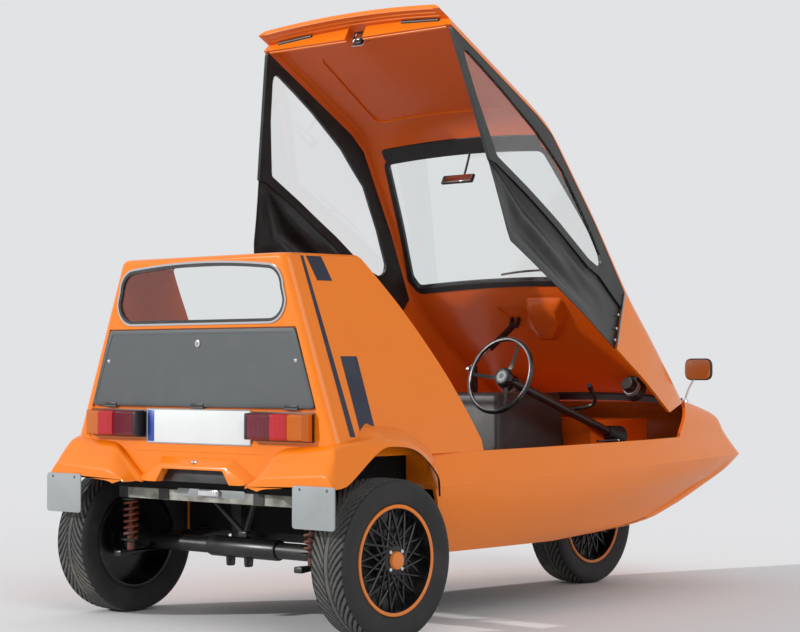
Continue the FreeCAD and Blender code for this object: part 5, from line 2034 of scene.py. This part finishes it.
    def _plates(self, shop: Workshop) -> None:
        """Blank number plate, and the plate lamp on its rounded panel.

        Args:
            shop: The workshop.
        """
        half, low, high = self.plate
        outline = rounded([(-half, low), (half, low), (half, high), (-half, high)], 9.0)
        base = shop.slab("y", outline, -231.2, -228.3, 0.8, 2, "plate_white")
        rim = shop.prism("y", outline, -232.1, -230.9)
        shop.cut(rim, "y", grown(outline, -4.0), -240, -220)
        rim = shop.paint(shop.soften(rim, 0.5, 2), "flap_grey")
        band = shop.soften(shop.block("band", (-half + 6, -231.6, low + 6),
                                      (-half + 40, -230.9, high - 6)), 0.3, 2)
        band = shop.paint(band, "plate_blue")
        shop.fit(shop.join("blank_plate", [base, rim, band]), "body", "plate_white", "number_plate")
        outline = rounded([(-170, 448), (170, 448), (170, 475), (-170, 475)], 12.0)
        panel = shop.slab("y", outline, -169.3, -165.3, 1.5, 2, "flap_grey")
        case = shop.brick("case", (-50, -182, 452), (50, -169, 474), 3, 3, "bright_trim")
        lens = shop.brick("lens", (-46, -185, 455), (46, -180, 471), 2, 3, "white_lens")
        shop.fit(shop.join("plate_light", [panel, case, lens]), "body", "bright_trim", "plate_lamp")
        sheet = shop.soften(shop.block("sheet", (-429, -168.5, 431), (429, -165.2, 468)), 1, 2)
        shop.paint(sheet, "dull_panel")
        sheet.name = "cross_panel"
        shop.fit(sheet, "body", "chassis_paint")

    def _flaps(self, shop: Workshop) -> None:
        """Mudflaps with rounded lower corners and two bolts each.

        Args:
            shop: The workshop.
        """
        inner, outer, low, high = self.flap
        pieces = []
        for side in SIDES:
            corners = [(inner, low), (outer, low), (outer, high), (inner, high)]
            outline = rounded([(side * x, z) for x, z in corners], 14.0)
            flap = shop.prism("y", outline, -305.8, -301.2)
            pieces.append(shop.paint(shop.soften(flap, 1.6, 3), "flap_grey"))
            for x in (inner + 34, outer - 34):
                pieces.append(shop.paint(shop.spun("bolt", [(0, CORE), (0, 6), (-1.2, 5), (-1.8, CORE)],
                                                   (side * x, -305.4, high - 12), "Y", 6), "engine_iron"))
        shop.fit(shop.join("mud_flaps", pieces), "body", "flap_grey", "mudflaps")

    def _wings(self, shop: Workshop) -> None:
        """Rear wings with rounded shoulders and a rolled lip.

        Args:
            shop: The workshop.
        """
        wall = 8.0
        rings = []
        for y, *corners in self.wing_rows:
            line = [Vector(c) for c in corners]
            curve: list[Vector] = [line[0]]
            for before, corner, after, reach in ((line[0], line[1], line[2], 26.0),
                                                 (line[1], line[2], line[3], 24.0)):
                first = corner + (before - corner).normalized() * min(reach, (before - corner).length * 0.45)
                last = corner + (after - corner).normalized() * min(reach, (after - corner).length * 0.45)
                curve += [first * (1 - t) ** 2 + corner * (2 * t * (1 - t)) + last * t * t for t in
                          (k / 6 for k in range(7))]
            curve.append(line[3])
            inner = []
            for k, spot in enumerate(curve):
                ahead = (curve[min(k + 1, len(curve) - 1)] - curve[max(k - 1, 0)]).normalized()
                inner.append(spot + Vector((ahead.y, -ahead.x)) * wall)
            inner[0].x = curve[0].x
            inner[-1].y = curve[-1].y
            rings.append([(p.x, y, p.y) for p in curve + inner[::-1]])
        wing = shop.skin("wing", eased(rings, 6))
        edge = [(x, z) for x, _, z in rings[0][:16]]
        drops = [self.lip * min(1.0, (x - 304) / 50, (706.5 - x) / 24) for x, _ in edge]
        below = [(x, z - drop) for (x, z), drop in zip(edge, drops)]
        lip = shop.prism("y", [(x, z - 1) for x, z in edge] + below[::-1], -301.1, -294.5)
        web = shop.prism("y", [(318, 541), (318, 607), (412, 607), (412, 616)], -227.6, -219.5)
        wing = shop.join("wing_skins", [wing, lip, web])
        shop.in_triangles(wing)
        shop.mirror(wing)
        wing.name = "wing_skins"
        shop.paint(wing, "body_paint", 42.0)
        # Faces that look down get the black chassis finish: painted shade under the wings.
        shop.line_inside(wing, "chassis_paint", (0.0, 0.0, -20000.0))
        shop.fit(wing, "body", "body_paint", "rear_wings")

    def _valance(self, shop: Workshop) -> None:
        """Hood between the wings, its dark recess, the apron and a small lock.

        Args:
            shop: The workshop.
        """
        rings = []
        for y, top, top_z, foot in ((-220, 181, 592, 326), (-228, 179, 587, 320), (-252, 169, 563, 296),
                                    (-257.5, 164, 556, 288)):
            outline = rounded([(-foot, 500), (foot, 500), (top, top_z), (-top, top_z)], 15.0)
            rings.append([(x, y, z) for x, z in outline])
        hood = shop.skin("hood", rings)
        recess = rounded([(-150, 546), (150, 546), (205, 470), (-205, 470)], 10.0)
        shop.cut(hood, "y", recess, -300, -200)
        shop.paint(shop.soften(hood, 2.5, 3), "body_paint", 42.0)
        apron = shop.block("apron", (-329, -228, 500), (329, -219, 603.5))
        shop.cut(apron, "y", recess, -300, -200)
        shop.paint(apron, "body_paint")
        dark = shop.soften(shop.prism("y", grown(recess, 4.0), -222, -219.2), 0.6, 2)
        shop.hollow(dark, (-300, -300, 400), (300, -100, 500.5))
        shop.paint(dark, "lamp_black")
        lock = shop.spun("lock", [(-4, CORE), (-4, 15), (2, 14), (5, 9), (6, CORE)], (0, -242, 573), "Z", 28)
        shop.paint(lock, "bright_trim")
        shop.fit(shop.join("valance_hood", [hood, apron, dark, lock]), "body", "body_paint", "rear_valance")

    def _stripes(self, shop: Workshop, tail: Tail) -> None:
        """Plain stripes on the tail's sides.

        Args:
            shop: The workshop.
            tail: The tail with its outlines.
        """
        points: list = []
        faces: list = []
        steps = 24
        for side in SIDES:
            for corners in self.stripes:
                top_left, top_right, low_right, low_left = (Vector(c) for c in corners)
                first = len(points)
                for k in range(steps + 1):
                    for near, far in ((top_left, low_left), (top_right, low_right)):
                        spot = near.lerp(far, k / steps)
                        points.append((side * (tail.side_x(spot.x, spot.y) + 0.7), spot.x, spot.y))
                faces += [(first + 2 * k, first + 2 * k + 1, first + 2 * k + 3, first + 2 * k + 2)
                          for k in range(steps)]
        decal = shop.paint(shop.mesh("side_stripes", points, faces), "decal")
        shop.fit(decal, "body", "body_paint")


@dataclass
class Cabin:
    """Seats, engine cover, steering, lever, catches and mirrors."""

    floor: float = 308.5
    wheel_at: tuple = (300, 1040, 868)
    column_end: tuple = (300, 1777, 628)
    grip: float = 146.0
    lever: tuple = ((171, 1584.6, 733), (235, 1610, 735), (284, 1635, 742), (312, 1636, 762),
                    (326, 1608, 788), (338, 1573, 806))
    knob: tuple = ((337, 1573, 805), (341, 1562, 816), (346, 1547, 825), (350, 1537, 830))

    def build(self, shop: Workshop) -> None:
        """Build everything in the cabin.

        Args:
            shop: The workshop.
        """
        self._seats(shop)
        self._cover(shop)
        self._steering(shop)
        self._lever(shop)
        self._catches(shop)
        self._mirrors(shop)

    def _seats(self, shop: Workshop) -> None:
        """Two seats, each with a squab and a back of stitched panels.

        Args:
            shop: The workshop.
        """
        squab = [(602, self.floor), (1060, self.floor), (1080, 416), (602, 398)]
        back = [(536, 428), (638, 428), (502, 828), (408, 815)]
        pieces = []
        for side in SIDES:
            low, high = sorted((side * 44, side * 498))
            for outline in (squab, back):
                cushion = self._cushion(shop, rounded(outline, 26.0), low, high)
                pieces.append(shop.paint(cushion, "black_vinyl", 60.0))
        seats = shop.join("seat_pads", pieces)
        shop.fit(seats, "body", "black_vinyl", "seat_cushions")

    def _cushion(self, shop: Workshop, outline: Sequence[Pair], low: float, high: float) -> Shape:
        """Pad with rounded ends and pressed seams across it.

        Args:
            shop: The workshop.
            outline: Corners seen from the side.
            low: Its left end.
            high: Its right end.

        Returns:
            The object.
        """
        rings = []
        width = high - low
        middle = Vector((sum(p[0] for p in outline), sum(p[1] for p in outline))) / len(outline)
        steps = 72
        for k in range(steps + 1):
            share = k / steps
            edge = min(share, 1 - share) * width
            ease = 1.0 - 26.0 / 110.0 * max(0.0, 1.0 - edge / 30.0) ** 2.2
            seam = 0.0
            for place in (0.16, 0.33, 0.5, 0.67, 0.84):
                seam = max(seam, math.exp(-((share - place) * width / 5.0) ** 2))
            ease -= 0.045 * seam
            rings.append([(low + width * share, *(middle + (Vector(p) - middle) * ease)) for p in outline])
        return shop.skin("cushion", rings)

    def _cover(self, shop: Workshop) -> None:
        """Engine cover with soft edges and a seam round its top.

        Args:
            shop: The workshop.
        """
        rings = []
        for z, half, rear, front in ((self.floor, 189.5, 1170.5, 1638), (500, 179.5, 1178, 1622),
                                     (742, 168.6, 1188, 1606), (752, 165.6, 1190.5, 1602),
                                     (762, 167.6, 1188.8, 1604), (786, 166, 1190, 1602),
                                     (795, 161, 1195, 1597), (799.6, 150, 1206, 1586)):
            corners = [(-half, rear), (half, rear), (half, front), (-half, front)]
            rings.append([(x, y, z) for x, y in rounded(corners, 26.0)])
        cover = shop.skin("padded_cover", rings)
        shop.fit(shop.paint(cover, "dark_vinyl", 50.0), "body", "dark_vinyl", "engine_cover")

    def _turned_to(self, target: Shape, spot: Sequence[float]) -> Shape:
        """Move a mesh made about the Z axis onto the column's axis.

        Args:
            target: The mesh, made about the car's origin.
            spot: Point of the car that its origin goes to.

        Returns:
            The same object.
        """
        axis = Vector(self.wheel_at) - Vector(self.column_end)
        turn = axis.to_track_quat("Z", "Y").to_matrix().to_4x4()
        origin = place_point(0, 0, 0)
        target.data.transform(Matrix.Translation(place_point(*spot)) @ turn @ Matrix.Translation(-origin))
        return target

    def _steering(self, shop: Workshop) -> None:
        """Steering wheel with a bright ring, three spokes and a hub, its column and the rubber boot.

        Args:
            shop: The workshop.
        """
        ring = [(8 * math.cos(a), self.grip - 1.4 + 8.6 * math.sin(a))
                for a in (math.tau * k / 16 for k in range(16))]
        grip = shop.paint(shop.spun("grip", ring, (0, 0, 0), "Z", 96), "wheel_black")
        ring = [(6.6 + 1.9 * math.cos(a), self.grip - 5.4 + 1.9 * math.sin(a))
                for a in (math.tau * k / 10 for k in range(10))]
        bright = shop.paint(shop.spun("ring", ring, (0, 0, 0), "Z", 96), "bright_trim")
        pieces = [grip, bright]
        for turn in (66, 178, 290):
            way = Vector((math.cos(math.radians(turn)), math.sin(math.radians(turn)), 0))
            across = Vector((-way.y, way.x, 0))
            rings = []
            for reach, drop, broad in ((20, -34, 9), (60, -28, 7.5), (110, -12, 6), (144, 0, 5.5)):
                spot = way * reach + Vector((0, 0, drop))
                rings.append([tuple(spot + across * u + Vector((0, 0, v))) for u, v in
                              ((-broad, -1.6), (broad, -1.6), (broad, 1.6), (-broad, 1.6))])
            pieces.append(shop.paint(shop.skin("spoke", eased(rings, 4)), "wheel_black"))
        hub = shop.spun("hub",
                        [(-46, CORE), (-46, 30), (-30, 36), (-18, 37), (-12, 34), (-9, 28), (-9, CORE)],
                        (0, 0, 0), "Z", 48)
        pieces.append(shop.paint(hub, "wheel_black"))
        for start, radius, finish in ((-9.5, 27, "lid_grey"), (-8.2, 20, "flap_grey"), (-7, 11, "lid_grey")):
            disc = shop.spun("disc",
                             [(start, CORE), (start, radius), (start + 1.5, radius - 0.8),
                              (start + 1.9, radius - 3), (start + 1.9, CORE)], (0, 0, 0), "Z", 40)
            pieces.append(shop.paint(disc, finish))
        wheel = self._turned_to(shop.join("driving_wheel", pieces), self.wheel_at)
        shop.fit(wheel, "steering_wheel", "wheel_black", "steering_wheel")
        axis = (Vector(self.wheel_at) - Vector(self.column_end)).normalized()
        start = Vector(self.wheel_at) - axis * 46.5
        shaft = shop.bar("shaft", [tuple(start), self.column_end], 17, sides=32)
        shop.paint(shaft, "black_steel")
        folds = [(-30, CORE)]
        for k in range(7):
            radius = 45 - 3.3 * k
            folds += [(-30 + 11 * k, radius), (-25 + 11 * k, radius + 1.5), (-21.5 + 11 * k, radius - 4)]
        folds.append((48, CORE))
        boot = shop.paint(shop.spun("boot", folds, (0, 0, 0), "Z", 48), "lamp_black", 60.0)
        self._turned_to(boot, self.column_end)
        stalk_end = start + Vector((54, 6, -4))
        stalk = shop.paint(shop.tube("stalk", [tuple(start + Vector((8, 10, -3))), tuple(stalk_end)],
                                     4), "lamp_black")
        column = shop.join("column", [shaft, boot, stalk])
        shop.fit(column, "body", "black_steel", "steering_column")

    def _lever(self, shop: Workshop) -> None:
        """Curved gear lever with its grip.

        Args:
            shop: The workshop.
        """
        lever = shop.paint(shop.tube("lever", list(self.lever), 8, sides=16), "black_steel")
        grip = shop.paint(shop.tube("grip", list(self.knob), 10.5, sides=20), "wheel_black")
        shop.fit(shop.join("shift_lever", [lever, grip]), "body", "black_steel", "gear_lever")

    def _catches(self, shop: Workshop) -> None:
        """Latch bars on the sills.

        Args:
            shop: The workshop.
        """
        pieces = []
        for side in SIDES:
            line = [(side * 569, 1292, 620.3), (side * 569, 1428, 621.5)]
            pieces.append(shop.paint(shop.bar("bar", line, 3.6, sides=16), "black_steel"))
            for y in (1296, 1423):
                low, high = sorted((side * 562.5, side * 575.5))
                pieces.append(shop.paint(shop.soften(shop.block("foot", (low, y - 4, 617),
                                                                (high, y + 4, 624.5)), 1.4, 2),
                                         "bright_trim" if y > 1400 else "black_steel"))
        shop.fit(shop.join("latch_bars", pieces), "body", "black_steel", "sill_catches")

    def _mirrors(self, shop: Workshop) -> None:
        """Wing mirrors on bent stems.

        Args:
            shop: The workshop.
        """
        pieces = []
        for side in SIDES:
            centre = side * 490
            corners = [(centre - 65, 850), (centre + 65, 850), (centre + 65, 940), (centre - 65, 940)]
            outline = rounded(corners, 32.0)
            case = shop.prism("y", outline, 2102, 2114)
            pieces.append(shop.paint(shop.soften(case, 4, 3), "lamp_black"))
            face = shop.prism("y", grown(outline, -5.0), 2100.4, 2102.4)
            pieces.append(shop.paint(shop.soften(face, 0.4, 2), "mirror_glass"))
            stem = [(side * 436, 2088, 760), (side * 440, 2090, 795), (side * 452, 2101, 830),
                    (side * 474, 2108, 862)]
            pieces.append(shop.paint(shop.tube("stem", stem, 4.5, sides=16), "bright_trim"))
            pieces.append(shop.paint(shop.spun("base", [(-4, CORE), (-4, 15), (5, 13), (9, 7), (10, CORE)],
                                               (side * 436, 2088, 764), "Z", 28), "bright_trim"))
        shop.fit(shop.join("door_mirrors", pieces), "body", "black_steel", "wing_mirrors")


@dataclass
class Studio:
    """Camera, lamps, floor and backdrop."""

    camera_at: tuple = (5034.1, -4871.4, 869.8)
    look: tuple = (-0.66312, 0.74788, 0.02932)
    roll: float = 0.15
    lens: float = 90.0
    sensor: float = 36.0
    sky: float = 0.6
    ambient: tuple = (0.90, 0.94, 1.0, 1.0)
    backdrop: tuple = (0.76, 0.765, 0.78, 1.0)

    def build(self) -> None:
        """Set everything up."""
        self._camera()
        self._lamps()
        self._floor()
        bpy.context.scene.view_settings.view_transform = "Standard"

    def _camera(self) -> None:
        """Camera at the photograph's place."""
        data = bpy.data.cameras.new("camera")
        data.lens = self.lens
        data.sensor_width = self.sensor
        made = placed("camera", data)
        turn = Vector(self.look).to_track_quat("-Z", "Y").to_matrix().to_4x4()
        roll = Matrix.Rotation(math.radians(self.roll), 4, "Z")
        made.matrix_world = Matrix.Translation(place_point(*self.camera_at)) @ turn @ roll
        bpy.context.scene.camera = made

    def _lamps(self) -> None:
        """Sun from behind on the left, and a soft weak one from the right."""
        for name, way, softness, power in (
            ("key", (0.52, 0.68, -0.33), 1.5, 2.0),
            ("fill", (-0.80, 0.35, -0.50), 35.0, 0.7),
        ):
            data = bpy.data.lights.new(name, "SUN")
            data.energy = power
            data.angle = math.radians(softness)
            lamp = placed(name, data)
            lamp.matrix_world = Vector(way).to_track_quat("-Z", "Y").to_matrix().to_4x4()

    def _floor(self) -> None:
        """Pale floor, and a backdrop that the camera sees pale too."""
        data = bpy.data.meshes.new("floor")
        reach = 300.0
        data.from_pydata([(-reach, -reach, 0), (reach, -reach, 0), (reach, reach, 0), (-reach, reach, 0)], [],
                         [(0, 1, 2, 3)])
        floor = placed("floor", data)
        board = Board("floor")
        board.set(Base_Color=(0.864, 0.846, 0.83, 1.0), Roughness=1.0, Specular_IOR_Level=0.0)
        data.materials.append(board.material)
        world = bpy.data.worlds.new("backdrop")
        bpy.context.scene.world = world
        world.use_nodes = True
        tree = world.node_tree
        tree.nodes.clear()
        out = tree.nodes.new("ShaderNodeOutputWorld")
        mix = tree.nodes.new("ShaderNodeMixShader")
        path = tree.nodes.new("ShaderNodeLightPath")
        seen = path.outputs["Is Camera Ray"]
        for ray in ("Is Transmission Ray", "Is Glossy Ray"):
            either = tree.nodes.new("ShaderNodeMath")
            either.operation = "MAXIMUM"
            tree.links.new(seen, either.inputs[0])
            tree.links.new(path.outputs[ray], either.inputs[1])
            seen = either.outputs[0]
        tree.links.new(seen, mix.inputs[0])
        for number, colour, strength in ((1, self.ambient, self.sky), (2, self.backdrop, 1.0)):
            light = tree.nodes.new("ShaderNodeBackground")
            light.inputs["Color"].default_value = colour
            light.inputs["Strength"].default_value = strength
            tree.links.new(light.outputs[0], mix.inputs[number])
        tree.links.new(mix.outputs[0], out.inputs["Surface"])


def dress_nodes(finishes: Finishes) -> None:
    """Give every CAD node the finish of its slot.

    Args:
        finishes: The car's finishes.
    """
    slots = {part["node"]: part["material_slot"] for part in frame["record"]["subparts"]}
    for name, node in frame["nodes"].items():
        node.data.materials.clear()
        finish = "cabin_paint" if name == "cabin_moulding" else slots[name]
        node.data.materials.append(finishes[finish])


def main() -> None:
    """Build the car's looks in order."""
    finishes = Finishes()
    shop = Workshop(finishes)
    dress_nodes(finishes)
    hull = Hull()
    hull.build_tub(shop)
    hull.build_upper(shop)
    tail = Tail()
    tail.build_shell(shop, hull)
    Rear().build(shop, tail)
    Cabin().build(shop)
    Canopy().build(shop)
    Wheels().build(shop)
    RunningGear().build(shop)
    Studio().build()


if __name__ == "__main__":
    main()
